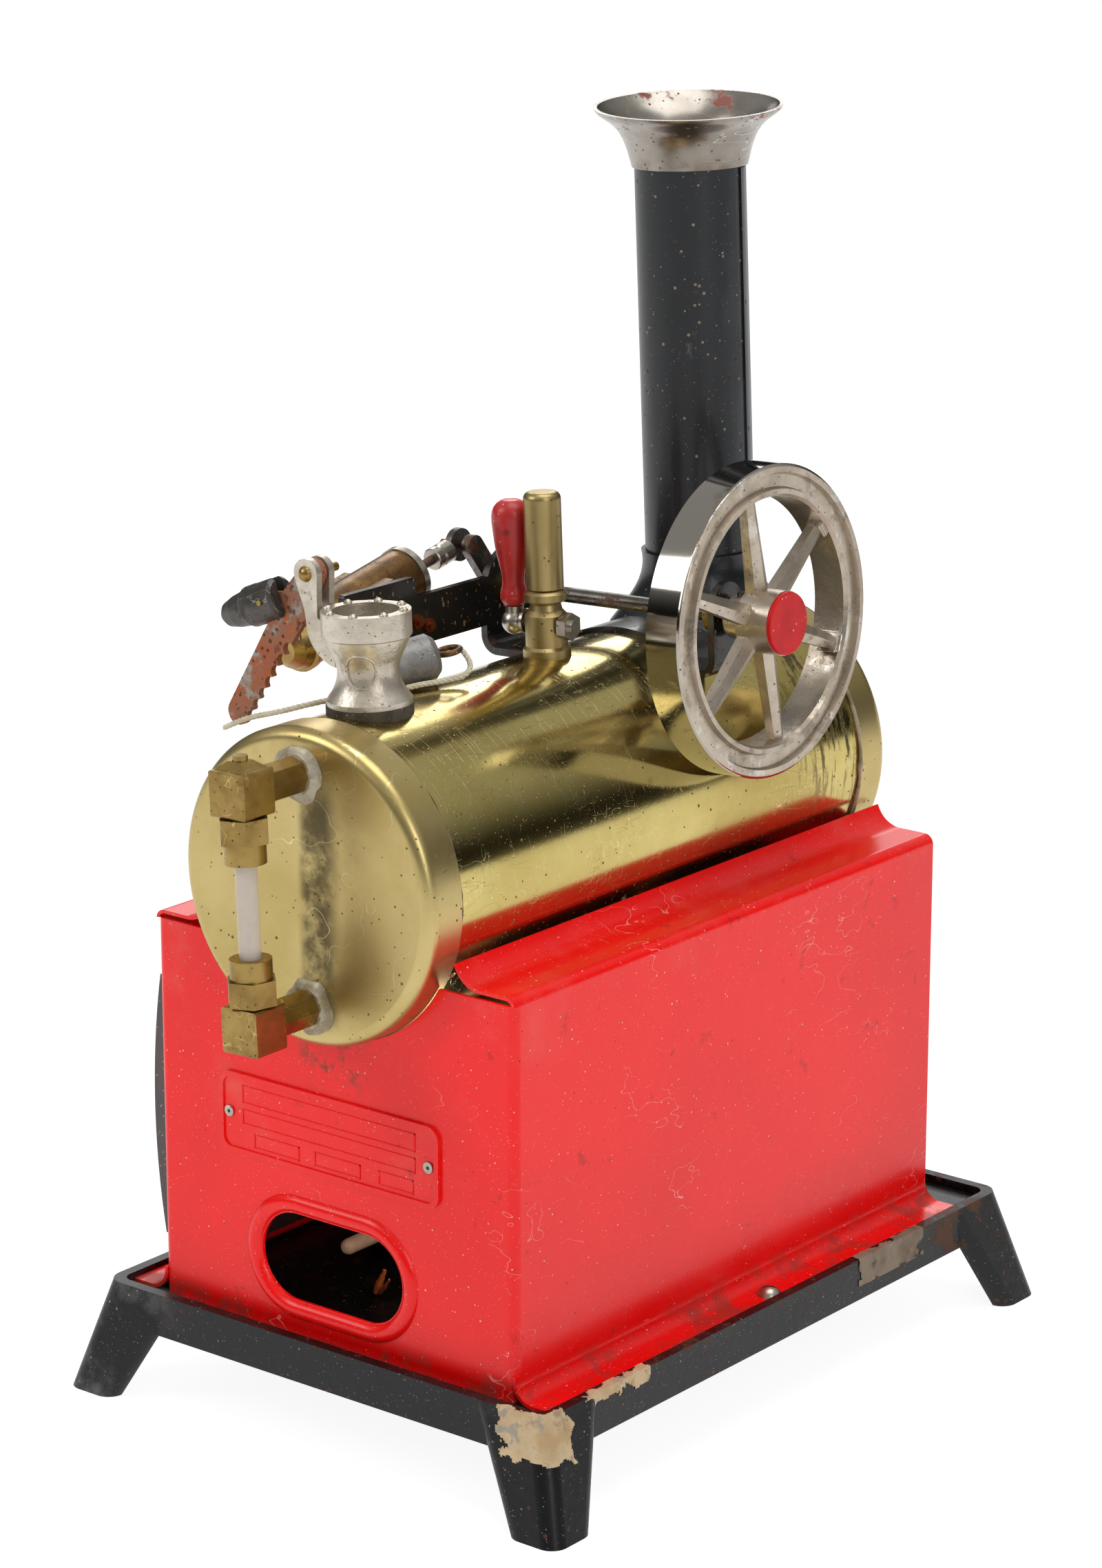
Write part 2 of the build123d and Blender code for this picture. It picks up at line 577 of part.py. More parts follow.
def valve_plug_pin():
    """Brass cross pin through the plug and the prong."""
    px, pz = plug_pin_place()
    return bar_y(0.55, LEVER_Y - PLUG_R - 0.5, LEVER_Y + PLUG_R + 0.5, px, pz)


# ---------------------------------------------------------------- weight and string

WEIGHT_TAIL = (-3.5, -34.9, 157.5)  # the end that carries the ring
WEIGHT_DIRECTION = (-10.0, -17.0, -3.4)


def weight_frame(part):
    """Place a part drawn along +Z from the ring end so that it lies behind the valve."""
    return Plane(origin=WEIGHT_TAIL, z_dir=WEIGHT_DIRECTION).location * part


def valve_weight():
    """Cylindrical weight with a bevelled end."""
    r, n = WEIGHT_R, WEIGHT_LENGTH
    return weight_frame(turned([(0, 0), (r - 1.0, 0), (r, 1.2), (r, n - 0.8), (r - 0.8, n), (0, n)]))


def weight_ring():
    """Wire ring fixed in the end of the weight."""
    ring = Rot(90, 0, 0) * Torus(2.3, 0.6)
    stem = Pos(0, 0, -0.6) * Cylinder(0.6, 1.2, align=(MID, MID, LOW))
    part = Pos(0, 0, -2.9) * ring + stem
    part -= Pos(0, 0, 0) * Cylinder(3, 5, align=(MID, MID, LOW))
    return weight_frame(part)


STRING_ROUTE = [
    (-0.8, -30.2, 158.2),
    (1.9, -29.9, 155.9),
    (2.7, -32.4, 153.6),
    (0.6, -36.6, 153.1),
    (-1.6, -41.4, 153.1),
    (-3.1, -46.6, 152.8),
    (-6.6, -51.6, 152.4),
    (-11.4, -56.0, 152.0),
    (-16.0, -59.6, 150.9),
    (-21.6, -61.4, 149.2),
    (-27.4, -62.2, 147.8),
    (-32.0, -62.4, 146.2),
    (-35.8, -62.2, 144.4),
]


def route_radii(route):
    """Largest fair arc at each corner: 0.45 of the shorter run over the tangent of half the turn."""
    radii = []
    for a, b, c in zip(route, route[1:], route[2:]):
        into, out = Vector(*b) - Vector(*a), Vector(*c) - Vector(*b)
        half = radians(into.get_angle(out)) / 2
        radii.append(0.45 * min(into.length, out.length) / tan(half))
    return radii


def weight_string():
    """Twisted cotton string from the weight's ring to the end of the lever."""
    radii = route_radii(STRING_ROUTE)
    path = FilletPolyline(*STRING_ROUTE, radius=radii)
    start = Plane(origin=path @ 0, z_dir=path % 0)
    tube = sweep(start * Circle(STRING_D / 2), path=path)
    expected = pi * STRING_D**2 / 4 * path.length
    print("string radii", [round(r, 1) for r in radii])
    print("string length", round(path.length, 2), "volume", round(tube.volume, 2), "of", round(expected, 2))
    return tube


# ---------------------------------------------------------------- whistle


def whistle_body():
    """Turned base with a cross bore for the spindle, up to the collar under the bell."""
    foot = BOILER_TOP - 3
    z = SPINDLE_Z
    base = [(0, foot), (4.9, foot), (4.9, z - 5.0), (4.3, z - 4.4), (4.3, z + 2.0), (3.4, z + 3.0)]
    collar = [(3.1, z + 4.2), (4.4, z + 5.0), (4.4, z + 6.4), (3.2, z + 7.4), (0, z + 7.4)]
    body = on_boiler(Pos(0, WHISTLE_Y, 0) * turned(base + collar))
    body -= bar_x(1.5 + FIT, -6, 6, WHISTLE_Y, z)
    return body - bar_z(0.8, foot - 1, z, 0, WHISTLE_Y)


def whistle_bell():
    """Domed bell tube with its sounding slot."""
    z0 = SPINDLE_Z + 7.4
    bell = bar_z(BELL_R, z0, WHISTLE_TOP, 0, WHISTLE_Y)
    bell = fillet(bell.edges().group_by(Axis.Z)[-1], 1.5)
    bell -= bar_z(BELL_R - 0.5, z0 + 0.8, WHISTLE_TOP - 1.6, 0, WHISTLE_Y)
    return bell - block(-1.6, 1.6, WHISTLE_Y + 2, WHISTLE_Y + 5, z0 + 2.5, z0 + 5.0)


def whistle_spindle():
    """Cross spindle with the ball that carries the handle."""
    bar = bar_x(1.5, HANDLE_X, 7.6, WHISTLE_Y, SPINDLE_Z)
    ball = Pos(HANDLE_X, WHISTLE_Y, SPINDLE_Z - 0.4) * Sphere(2.7)
    ferrule = bar_z(1.9, SPINDLE_Z, SPINDLE_Z + 2.9, HANDLE_X, WHISTLE_Y)
    flange = bar_x(2.6, -5.2, -4.5, WHISTLE_Y, SPINDLE_Z)
    return bar + ball + ferrule + flange


def whistle_handle():
    """Turned wooden grip standing on the ball."""
    z0 = SPINDLE_Z + 2.9
    lower = [(1.6, z0), (2.8, z0 + 1.8), (2.4, z0 + 4.0), (3.1, z0 + 10.0)]
    upper = [(3.9, z0 + 16.0), (3.7, z0 + 20.0), (1.8, z0 + 21.8)]
    profile = make_face(
        Polyline((0, z0), (1.6, z0))
        + Spline(*(lower + upper))
        + Polyline((1.8, z0 + 21.8), (0, z0 + 22.0), (0, z0))
    )
    grip = revolve(Plane.XZ * profile, Axis.Z, 360)
    return Pos(HANDLE_X, WHISTLE_Y, 0) * grip


def whistle_nut():
    """Hexagon nut and washer on the right end of the spindle."""
    nut = extrude(RegularPolygon(2.9, 6), 2.2) + Cylinder(2.6, 0.6, align=(MID, MID, LOW))
    nut -= Pos(0, 0, -1) * Cylinder(1.5, 6, align=(MID, MID, LOW))
    return along_x(nut, 4.6, WHISTLE_Y, SPINDLE_Z)


# ---------------------------------------------------------------- chimney


def stack_saddle():
    """Flared skirt between the chimney and the boiler strap."""
    seat = SHELL_R + SADDLE_SHEET
    z = BOILER_Z + seat
    r = STACK_R
    profile = make_face(
        Line((r, z + 12.0), (r + 0.9, z + 12.0))
        + Spline((r + 0.9, z + 12.0), (r + 1.6, z + 5.5), (r + 4.5, z + 0.8), (r + 8.0, z - 3.5))
        + Polyline((r + 8.0, z - 3.5), (r + 8.0, z - 9.0), (r, z - 9.0), (r, z + 12.0))
    )
    skirt = Pos(0, STACK_Y, 0) * revolve(Plane.XZ * profile, Axis.Z, 360)
    inner = make_face(
        Polyline((r, z + 10.6), (r - 0.2, z - 12.0), (r + 7.2, z - 12.0), (r + 7.2, z - 4.0))
        + Spline((r + 7.2, z - 4.0), (r + 3.6, z + 0.4), (r + 0.9, z + 5.3), (r, z + 10.6))
    )
    skirt -= Pos(0, STACK_Y, 0) * revolve(Plane.XZ * inner, Axis.Z, 360)
    return skirt - bar_y(seat, BOILER_FRONT, BOILER_BACK + 9, 0, BOILER_Z)


def stack_tube():
    """Rolled sheet tube with a standing seam."""
    tube = bar_z(STACK_R, STACK_BOTTOM, FLARE_BOTTOM + FLARE_SKIRT, 0, STACK_Y)
    return tube - bar_z(STACK_R - STACK_WALL, STACK_BOTTOM - 1, FLARE_BOTTOM + 9, 0, STACK_Y)


def stack_flare():
    """Spun bell mouth, bent a little out of level, with a short skirt over the tube."""
    height = FLARE_TOP - FLARE_BOTTOM

    def ring(share, radius):
        """One level of the bell: share 0 is its foot, 1 its lip."""
        lean = Rot(FLARE_LEAN[0] * share, FLARE_LEAN[1] * share, 0)
        return Pos(0, STACK_Y, FLARE_BOTTOM + height * share) * lean * Circle(radius)

    outer = [(0, 0.5), (0.13, 0.9), (0.36, 1.7), (0.56, 2.8), (0.75, 4.8), (1, FLARE_R - STACK_R)]
    inner = [(-0.02, 0), (0.13, 0.3), (0.36, 1.1), (0.58, 2.3), (0.79, 4.3), (1.04, FLARE_R - STACK_R - 0.5)]
    bell = loft([ring(share, STACK_R + more) for share, more in outer])
    bell -= loft([ring(share, STACK_R + more) for share, more in inner])
    skirt = bar_z(STACK_R + 0.5, FLARE_BOTTOM, FLARE_BOTTOM + FLARE_SKIRT, 0, STACK_Y)
    return bell + (skirt - bar_z(STACK_R, FLARE_BOTTOM - 1, FLARE_TOP, 0, STACK_Y))


# ---------------------------------------------------------------- engine


def strap_section():
    """XZ section of the frame stamping: two uprights joined by a strap over the boiler."""
    middle = SHELL_R + SADDLE_SHEET / 2
    reach = 18.0
    shoulder = BOILER_Z + sqrt(middle**2 - reach**2)
    half = SADDLE_SHEET / 2
    inner_r, outer_r = middle - half, middle + half
    inner_z = BOILER_Z + sqrt(inner_r**2 - reach**2)
    outer_z = BOILER_Z + sqrt(outer_r**2 - reach**2)
    strap = make_face(
        ThreePointArc((-reach, inner_z), (0, BOILER_Z + inner_r), (reach, inner_z))
        + Line((reach, inner_z), (reach, outer_z))
        + ThreePointArc((reach, outer_z), (0, BOILER_Z + outer_r), (-reach, outer_z))
        + Line((-reach, outer_z), (-reach, inner_z))
    )
    return strap, shoulder


def upright_section(sign, top, shoulder):
    """XZ section of one upright and its foot tab."""
    points = [(sign * 17.2, shoulder + 0.2), (sign * FRAME_X, shoulder + 0.2), (sign * FRAME_X, top)]
    return sheet_section(points, [3.2], FRAME_SHEET)


def engine_frame():
    """Black stamping: strap, left side plate with its bar and port leaf, right bearing upright."""
    strap, shoulder = strap_section()
    left0, left1 = SHAFT_Y - 9.3, SHAFT_Y + 9.3
    right0, right1 = SHAFT_Y - 5.0, SHAFT_Y + 5.0
    frame = extrude(Plane.XZ.offset(-20.0) * strap, -40.2)
    left = extrude(Plane.XZ.offset(-left0) * upright_section(-1, SHAFT_Z + 12, shoulder), -(left1 - left0))
    left &= bar_x(9.3, -FRAME_X - 3, 0, SHAFT_Y, SHAFT_Z) + block(-40, 0, left0, left1, 130, SHAFT_Z)
    section = upright_section(1, SHAFT_Z + 9, shoulder)
    right = extrude(Plane.XZ.offset(-right0) * section, -(right1 - right0))
    head = bar_x(5.0, 0, FRAME_X + 3, SHAFT_Y, SHAFT_Z + 2.0)
    right &= head + block(0, 40, right0, right1, 130, SHAFT_Z + 2.0)
    leaf = [(-34.5, 151.0), (-34.5, 166.8), (-12.4, 166.8), (-12.4, 162.6)]
    leaf += [(SHAFT_Y, 162.6), (SHAFT_Y, 152.4), (-9.0, 152.4), (-12.0, 151.0)]
    outline = make_face(Polyline(*leaf, close=True))
    outline = fillet(outline.vertices(), 0.9)
    bar = extrude(Plane.YZ.offset(-FRAME_X - FRAME_SHEET / 2) * outline, FRAME_SHEET)
    frame += left + right + bar
    frame += block(-17.8, -12.0, left0, 21.0, 100, 200) & extrude(Plane.XZ.offset(-left0) * strap, -30)
    frame += block(12.0, 17.8, right0, 21.0, 100, 200) & extrude(Plane.XZ.offset(-left0) * strap, -30)
    frame -= bar_z(STACK_R + 0.1, 140, 170, 0, STACK_Y)
    frame -= bar_y(SHELL_R, BOILER_FRONT, BOILER_BACK, 0, BOILER_Z)
    frame -= bar_x(2.6, -40, 40, SHAFT_Y, SHAFT_Z)
    frame -= bar_x(1.2 + FIT, -40, -20, PIVOT_Y, PIVOT_Z)
    return frame


def bearing(x):
    """Flanged bush pressed in a frame upright."""
    bush = bar_x(2.6, x - FRAME_SHEET / 2, x + FRAME_SHEET / 2, SHAFT_Y, SHAFT_Z)
    inward = -1 if x > 0 else 1
    low, high = sorted((x + inward * FRAME_SHEET / 2, x + inward * (FRAME_SHEET / 2 + 2.4)))
    bush += bar_x(3.6, low, high, SHAFT_Y, SHAFT_Z)
    return bush - bar_x(SHAFT_R + FIT, x - 9, x + 9, SHAFT_Y, SHAFT_Z)


def shaft_bearings():
    """The bushes of the left and the right upright."""
    return Compound([bearing(-FRAME_X), bearing(FRAME_X)])


def crankshaft():
    """Steel shaft through both bearings, the crank and the flywheel hub."""
    return bar_x(SHAFT_R, -33.2, HUB_X1, SHAFT_Y, SHAFT_Z)


def crank_web():
    """Flat crank arm on the left end of the shaft."""
    x0, x1 = WEB_X0, WEB_X1
    web = bar_x(3.4, x0, x1, SHAFT_Y, SHAFT_Z) + bar_x(2.4, x0, x1, PIN_Y, PIN_Z)
    arm = Pos((x0 + x1) / 2, 0, CRANK_R / 2) * Box(x1 - x0, 4.8, CRANK_R)
    web += Pos(0, SHAFT_Y, SHAFT_Z) * Rot(CRANK_ANGLE, 0, 0) * arm
    web -= bar_x(SHAFT_R, x0 - 1, x1 + 1, SHAFT_Y, SHAFT_Z)
    return web - bar_x(CRANK_PIN_R, x0 - 1, x1 + 1, PIN_Y, PIN_Z)


def crank_pin():
    """Inner end of the crank pin, pressed in the web and cut off just outside it."""
    return bar_x(CRANK_PIN_R, CRANK_PIN_END, WEB_X1, PIN_Y, PIN_Z)


def rod_pin_tail():
    """Outer end of the crank pin, carried by the rod's eye."""
    return bar_x(CRANK_PIN_R, PIN_TAIL_END, CRANK_PIN_END - PIN_BREAK, PIN_Y, PIN_Z)


def on_cylinder(part):
    """Place a part drawn along +Z from the pivot onto the cylinder's axis at rest."""
    return Pos(CYL_X, PIVOT_Y, PIVOT_Z) * Rot(CYL_TILT - 90, 0, 0) * part


CYL_FRONT, CYL_BACK = -15.8, 17.2   # ends of the barrel from the pivot, along its axis
BORE_R, ROD_R = 4.6, 1.0
PISTON_HALF = 3.5
PISTON_AT = PIN_REACH - 42.6


def cylinder_body():
    """Brass barrel with a flat port face against the frame leaf."""
    body = Pos(0, 0, CYL_FRONT) * Cylinder(CYL_R - 0.3, CYL_BACK - CYL_FRONT, align=(MID, MID, LOW))
    face_x = -FRAME_X - FRAME_SHEET / 2 - 0.3
    body += Pos(0, 0, 0) * Box(2 * (face_x - CYL_X), 9.0, 15.0)
    body -= Pos(-CYL_R - 5, 0, 0) * Box(10, 20, 60) & Box(40, 40, 15.0)
    body -= Pos(0, 0, CYL_FRONT - 5) * Cylinder(BORE_R, 80, align=(MID, MID, LOW))
    return on_cylinder(body)


def cylinder_front_cap():
    """Domed brass cover on the front end, with its flange."""
    r, z = CYL_R, CYL_FRONT
    dome = [(0, z - 5.4), (3.0, z - 5.0), (4.9, z - 3.6), (5.8, z - 1.6)]
    flange = [(r, z - 1.4), (r, z), (0, z)]
    return on_cylinder(turned(dome + flange))


def cylinder_rear_cap():
    """Plated cover with the rod gland."""
    z = CYL_BACK
    flange = [(0, z), (CYL_R, z), (CYL_R, z + 1.6), (5.6, z + 2.2)]
    gland = [(2.4, z + 2.6), (2.2, z + 4.0), (0, z + 4.0)]
    cover = turned(flange + gland)
    return on_cylinder(cover - Cylinder(ROD_R + FIT, 80))


def cylinder_pivot():
    """Stud fixed in the port face, turning in the frame leaf."""
    face_x = -FRAME_X - FRAME_SHEET / 2 - 0.3
    return bar_x(1.2, face_x, -21.6, PIVOT_Y, PIVOT_Z)


def cylinder_spring():
    """Coil spring that holds the port face against the leaf."""
    coil = Helix(pitch=1.15, height=3.45, radius=1.95)
    wire = Plane(origin=coil @ 0, z_dir=coil % 0) * Circle(0.28)
    return along_x(sweep(wire, path=coil), -26.75, PIVOT_Y, PIVOT_Z)


def cylinder_pivot_nut():
    """Hexagon nut on the inner end of the pivot stud."""
    nut = extrude(RegularPolygon(2.7, 6), 1.4) - Cylinder(1.2, 9)
    return along_x(nut, -22.95, PIVOT_Y, PIVOT_Z)


def piston():
    """Brass piston with an oil groove."""
    h = PISTON_HALF
    r = BORE_R - FIT
    body = turned([(0, -h), (r, -h), (r, -0.6), (r - 0.6, -0.6), (r - 0.6, 0.6), (r, 0.6), (r, h), (0, h)])
    return on_cylinder(Pos(0, 0, PISTON_AT) * body)


def piston_rod():
    """Steel rod from the piston to the coupling."""
    start = PISTON_AT + PISTON_HALF
    length = PIN_REACH + COUPLING_START - start
    return on_cylinder(Pos(0, 0, start) * Cylinder(ROD_R, length, align=(MID, MID, LOW)))


def rod_coupling():
    """Plated sleeve that joins the rod to its eye."""
    z0, z1 = PIN_REACH + COUPLING_START, PIN_REACH + COUPLING_END
    groove = z0 + 2.2
    start = [(0, z0), (2.2, z0), (2.4, z0 + 0.3), (2.4, groove - 0.4), (2.0, groove)]
    end = [(2.4, groove + 0.4), (2.4, z1), (0, z1)]
    return on_cylinder(turned(start + end))


def rod_eye():
    """Flat round eye around the crank pin."""
    eye = Pos(0, 0, PIN_REACH) * Rot(0, 90, 0) * Cylinder(3.5, 1.6)
    neck = Pos(0, 0, PIN_REACH - 3.4) * Box(1.6, 3.0, 2.0)
    body = eye + neck - Pos(0, 0, PIN_REACH - 8.6) * Cylinder(3, 5.0, align=(MID, MID, LOW))
    return on_cylinder(body - Pos(0, 0, PIN_REACH) * Rot(0, 90, 0) * Cylinder(0.8, 9))


def spoke():
    """One ridged spoke along +Z, deeper at the hub than at the rim."""

    def section(width, depth, z):
        half, side = width / 2, depth * 0.4
        ridge = [(-depth, -half), (side, -half), (depth, 0), (side, half), (-depth, half)]
        return Pos(SPOKE_X, 0, z) * make_face(Polyline(*ridge, close=True))

    return loft([section(4.4, 1.8, HUB_R - 1.5), section(2.8, 1.3, WHEEL_RIM_IN + 1.0)])


def flywheel():
    """Cast wheel with a turned rim, a grooved face and six ridged spokes."""
    x0, x1 = WHEEL_X0, WHEEL_X1
    r, ri = WHEEL_R, WHEEL_RIM_IN
    tread = [(ri, x0), (r, x0), (r, x1 - 0.5), (r - 0.6, x1), (r - 1.8, x1)]
    groove = [(r - 2.2, x1 - 1.1), (ri + 1.9, x1 - 1.1), (ri + 1.5, x1), (ri + 0.5, x1), (ri, x1 - 0.8)]
    wheel = Rot(0, 90, 0) * turned(tread + groove)
    for i in range(SPOKES):
        wheel += Rot(-SPOKE_PHASE - 360 / SPOKES * i, 0, 0) * spoke()
    wheel += bar_x(HUB_R, HUB_X0, HUB_X1, 0, 0)
    wheel += bar_x(SLEEVE_R, x0 - 1.6, HUB_X0 + 0.5, 0, 0)
    wheel -= bar_x(SHAFT_R, x0 - 5, HUB_X1 + 5, 0, 0)
    wheel -= bar_z(1.0, SHAFT_R, SLEEVE_R + 1, x0 + 0.2, 0)
    return Pos(0, SHAFT_Y, SHAFT_Z) * wheel


def flywheel_cap():
    """Painted disc over the end of the hub."""
    disc = Cylinder(HUB_R - 0.2, 0.9, align=(MID, MID, LOW))
    disc = fillet(disc.edges().group_by(Axis.Z)[-1], 0.3)
    return along_x(disc, HUB_X1, SHAFT_Y, SHAFT_Z)


def flywheel_set_screw():
    """Grub screw that locks the hub on the shaft."""
    x, top = WHEEL_X0 + 0.2, SLEEVE_R + 0.9
    screw = bar_z(1.0, SHAFT_R, top, x, 0) - block(x - 2, x + 2, -0.2, 0.2, top - 0.6, top + 1)
    return Pos(0, SHAFT_Y, SHAFT_Z) * screw


STEAM_ROUTE = [(-14.0, -30.0, 146.0), (-14.0, -30.0, 157.5), (-27.2, -30.0, 157.5)]


def steam_pipe():
    """Copper pipe from the boiler to the port behind the leaf."""
    path = FilletPolyline(*STEAM_ROUTE, radius=[4.5])
    pipe = sweep(Plane(origin=path @ 0, z_dir=path % 0) * (Circle(1.3) - Circle(0.7)), path=path)
    collar = bar_x(2.2, -27.2, -25.6, -30.0, 157.5) - bar_x(1.3, -28, -25, -30.0, 157.5)
    return on_boiler(pipe, 0.02) + collar


def port_screws():
    """Copper-plated screws in the frame bar."""
    screws = []
    for y, z in ((-13.2, 157.6), (-9.6, 156.2)):
        screws.append(bar_x(1.5, -27.2, -26.0, y, z) + bar_x(0.9, -26.2, -25.2, y, z))
    return Compound(screws)


UPRIGHT_NODES = {
    "base_casting": base_casting,
    "firebox_shell": firebox_shell,
    "firebox_back": firebox_back,
    "flange_screws": flange_screws,
    "nameplate": nameplate,
    "nameplate_rivets": nameplate_rivets,
    "heat_shield": heat_shield,
    "heater_element": heater_element,
    "heater_strap": heater_strap,
    "heater_rod": heater_rod,
    "terminal_block": terminal_block,
    "terminal_pins": terminal_pins,
    "terminal_guard": terminal_guard,
}

BOILER_NODES = {
    "boiler_shell": boiler_shell,
    "boiler_front_cap": boiler_front_cap,
    "boiler_rear_cap": lambda: cap(False),
    "gauge_elbows": gauge_elbows,
    "gauge_nuts": gauge_nuts,
    "gauge_glass": gauge_glass,
    "gauge_seals": gauge_seals,
    "gauge_drain_plug": gauge_drain_plug,
    "valve_gasket": valve_gasket,
    "valve_body": valve_body,
    "valve_rim_bolts": valve_rim_bolts,
    "valve_pivot_rivet": valve_pivot_rivet,
    "valve_lever": valve_lever,
    "valve_plug": valve_plug,
    "valve_plug_pin": valve_plug_pin,
    "valve_weight": valve_weight,
    "weight_ring": weight_ring,
    "weight_string": weight_string,
    "whistle_body": whistle_body,
    "whistle_bell": whistle_bell,
    "whistle_spindle": whistle_spindle,
    "whistle_handle": whistle_handle,
    "whistle_nut": whistle_nut,
    "stack_saddle": stack_saddle,
    "stack_tube": stack_tube,
    "stack_flare": stack_flare,
    "engine_frame": engine_frame,
    "shaft_bearings": shaft_bearings,
    "crankshaft": crankshaft,
    "crank_web": crank_web,
    "crank_pin": crank_pin,
    "flywheel": flywheel,
    "flywheel_cap": flywheel_cap,
    "flywheel_set_screw": flywheel_set_screw,
    "cylinder_body": cylinder_body,
    "cylinder_front_cap": cylinder_front_cap,
    "cylinder_rear_cap": cylinder_rear_cap,
    "cylinder_pivot": cylinder_pivot,
    "cylinder_spring": cylinder_spring,
    "cylinder_pivot_nut": cylinder_pivot_nut,
    "piston": piston,
    "piston_rod": piston_rod,
    "rod_coupling": rod_coupling,
    "rod_eye": rod_eye,
    "rod_pin_tail": rod_pin_tail,
    "steam_pipe": steam_pipe,
    "port_screws": port_screws,
}


def settle(part):
    """Turn a boiler-mounted part about the boiler axis."""
    return part.rotate(Axis((0, 0, BOILER_Z), (0, 1, 0)), -BOILER_ROLL)


def main():
    """Build every node and write it to parts/, with the row's origin on the table."""
    place = Location((0, ORIGIN_Y, -GROUND))
    for name, make in UPRIGHT_NODES.items():
        export_step(make().moved(place), f"parts/{name}.step")
    for name, make in BOILER_NODES.items():
        export_step(settle(make()).moved(place), f"parts/{name}.step")


main()
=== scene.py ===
"""Looks of a model steam engine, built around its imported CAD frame.

Every piece is in metres in the frame's own axes: +Z up, the water gauge towards -Y, the flywheel towards +X.
Pieces on the boiler are drawn upright about the boiler axis and turned by the boiler's small roll.
"""

import logging
import math
from dataclasses import dataclass
from enum import Enum

import bmesh
import bpy
from mathutils import Matrix, Vector, noise


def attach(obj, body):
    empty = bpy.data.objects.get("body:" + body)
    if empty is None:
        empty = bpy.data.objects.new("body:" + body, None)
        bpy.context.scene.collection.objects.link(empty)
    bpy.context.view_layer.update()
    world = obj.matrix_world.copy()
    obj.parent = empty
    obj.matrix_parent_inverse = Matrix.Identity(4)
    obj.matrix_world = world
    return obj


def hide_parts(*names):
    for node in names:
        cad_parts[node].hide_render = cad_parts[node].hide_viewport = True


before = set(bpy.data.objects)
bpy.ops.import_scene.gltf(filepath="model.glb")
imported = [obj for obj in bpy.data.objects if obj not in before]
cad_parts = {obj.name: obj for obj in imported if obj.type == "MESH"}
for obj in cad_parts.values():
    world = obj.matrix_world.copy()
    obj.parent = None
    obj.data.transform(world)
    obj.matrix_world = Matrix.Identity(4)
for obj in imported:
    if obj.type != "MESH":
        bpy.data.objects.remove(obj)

LOG = logging.getLogger("steam_engine")
MM = 0.001
CENTRE_Y = 8.3                     # the boiler drawing's Y origin in the frame, mm
GROUND = 2.0                       # height of the table in the boiler drawing, mm
BOILER_Z = 120.7                   # height of the boiler axis in its drawing, mm
BOILER_ROLL = math.radians(2.5)
ROOT = "root"


def srgb(code: str) -> tuple[float, float, float, float]:
    """Turn a six-digit hex colour into linear RGBA."""
    parts = [int(code[i:i + 2], 16) / 255 for i in (0, 2, 4)]
    linear = [c / 12.92 if c <= 0.04045 else ((c + 0.055) / 1.055) ** 2.4 for c in parts]
    return (*linear, 1.0)


class Sock:
    """A node output that Python operators turn into Math nodes."""

    def __init__(self, tree: "NodeTree", out: bpy.types.NodeSocket) -> None:
        """Wrap one output socket of a tree."""
        self.tree = tree
        self.out = out

    def _math(self, operation: str, *values: "Sock | float") -> "Sock":
        """Add a Math node that works on the given values in order."""
        return self.tree.node("ShaderNodeMath", dict(enumerate(values)), operation=operation)

    def __add__(self, other: "Sock | float") -> "Sock":
        """Sum of two values."""
        return self._math("ADD", self, other)

    def __sub__(self, other: "Sock | float") -> "Sock":
        """Difference of two values."""
        return self._math("SUBTRACT", self, other)

    def __rsub__(self, other: float) -> "Sock":
        """Number minus this value."""
        return self._math("SUBTRACT", other, self)

    def __mul__(self, other: "Sock | float") -> "Sock":
        """Product of two values."""
        return self._math("MULTIPLY", self, other)

    __radd__ = __add__
    __rmul__ = __mul__

    def __abs__(self) -> "Sock":
        """Size of the value without its sign."""
        return self._math("ABSOLUTE", self)

    def ramp(self, low: float, high: float) -> "Sock":
        """Smooth step from 0 at low to 1 at high; low above high gives a falling step.

        Args:
            low: value that gives 0.
            high: value that gives 1.

        Returns:
            The stepped value.
        """
        flip = low > high
        low, high = min(low, high), max(low, high)
        step = self.tree.node(
            "ShaderNodeMapRange",
            {"Value": self, "From Min": low, "From Max": high},
            interpolation_type="SMOOTHSTEP",
        )
        return 1.0 - step if flip else step


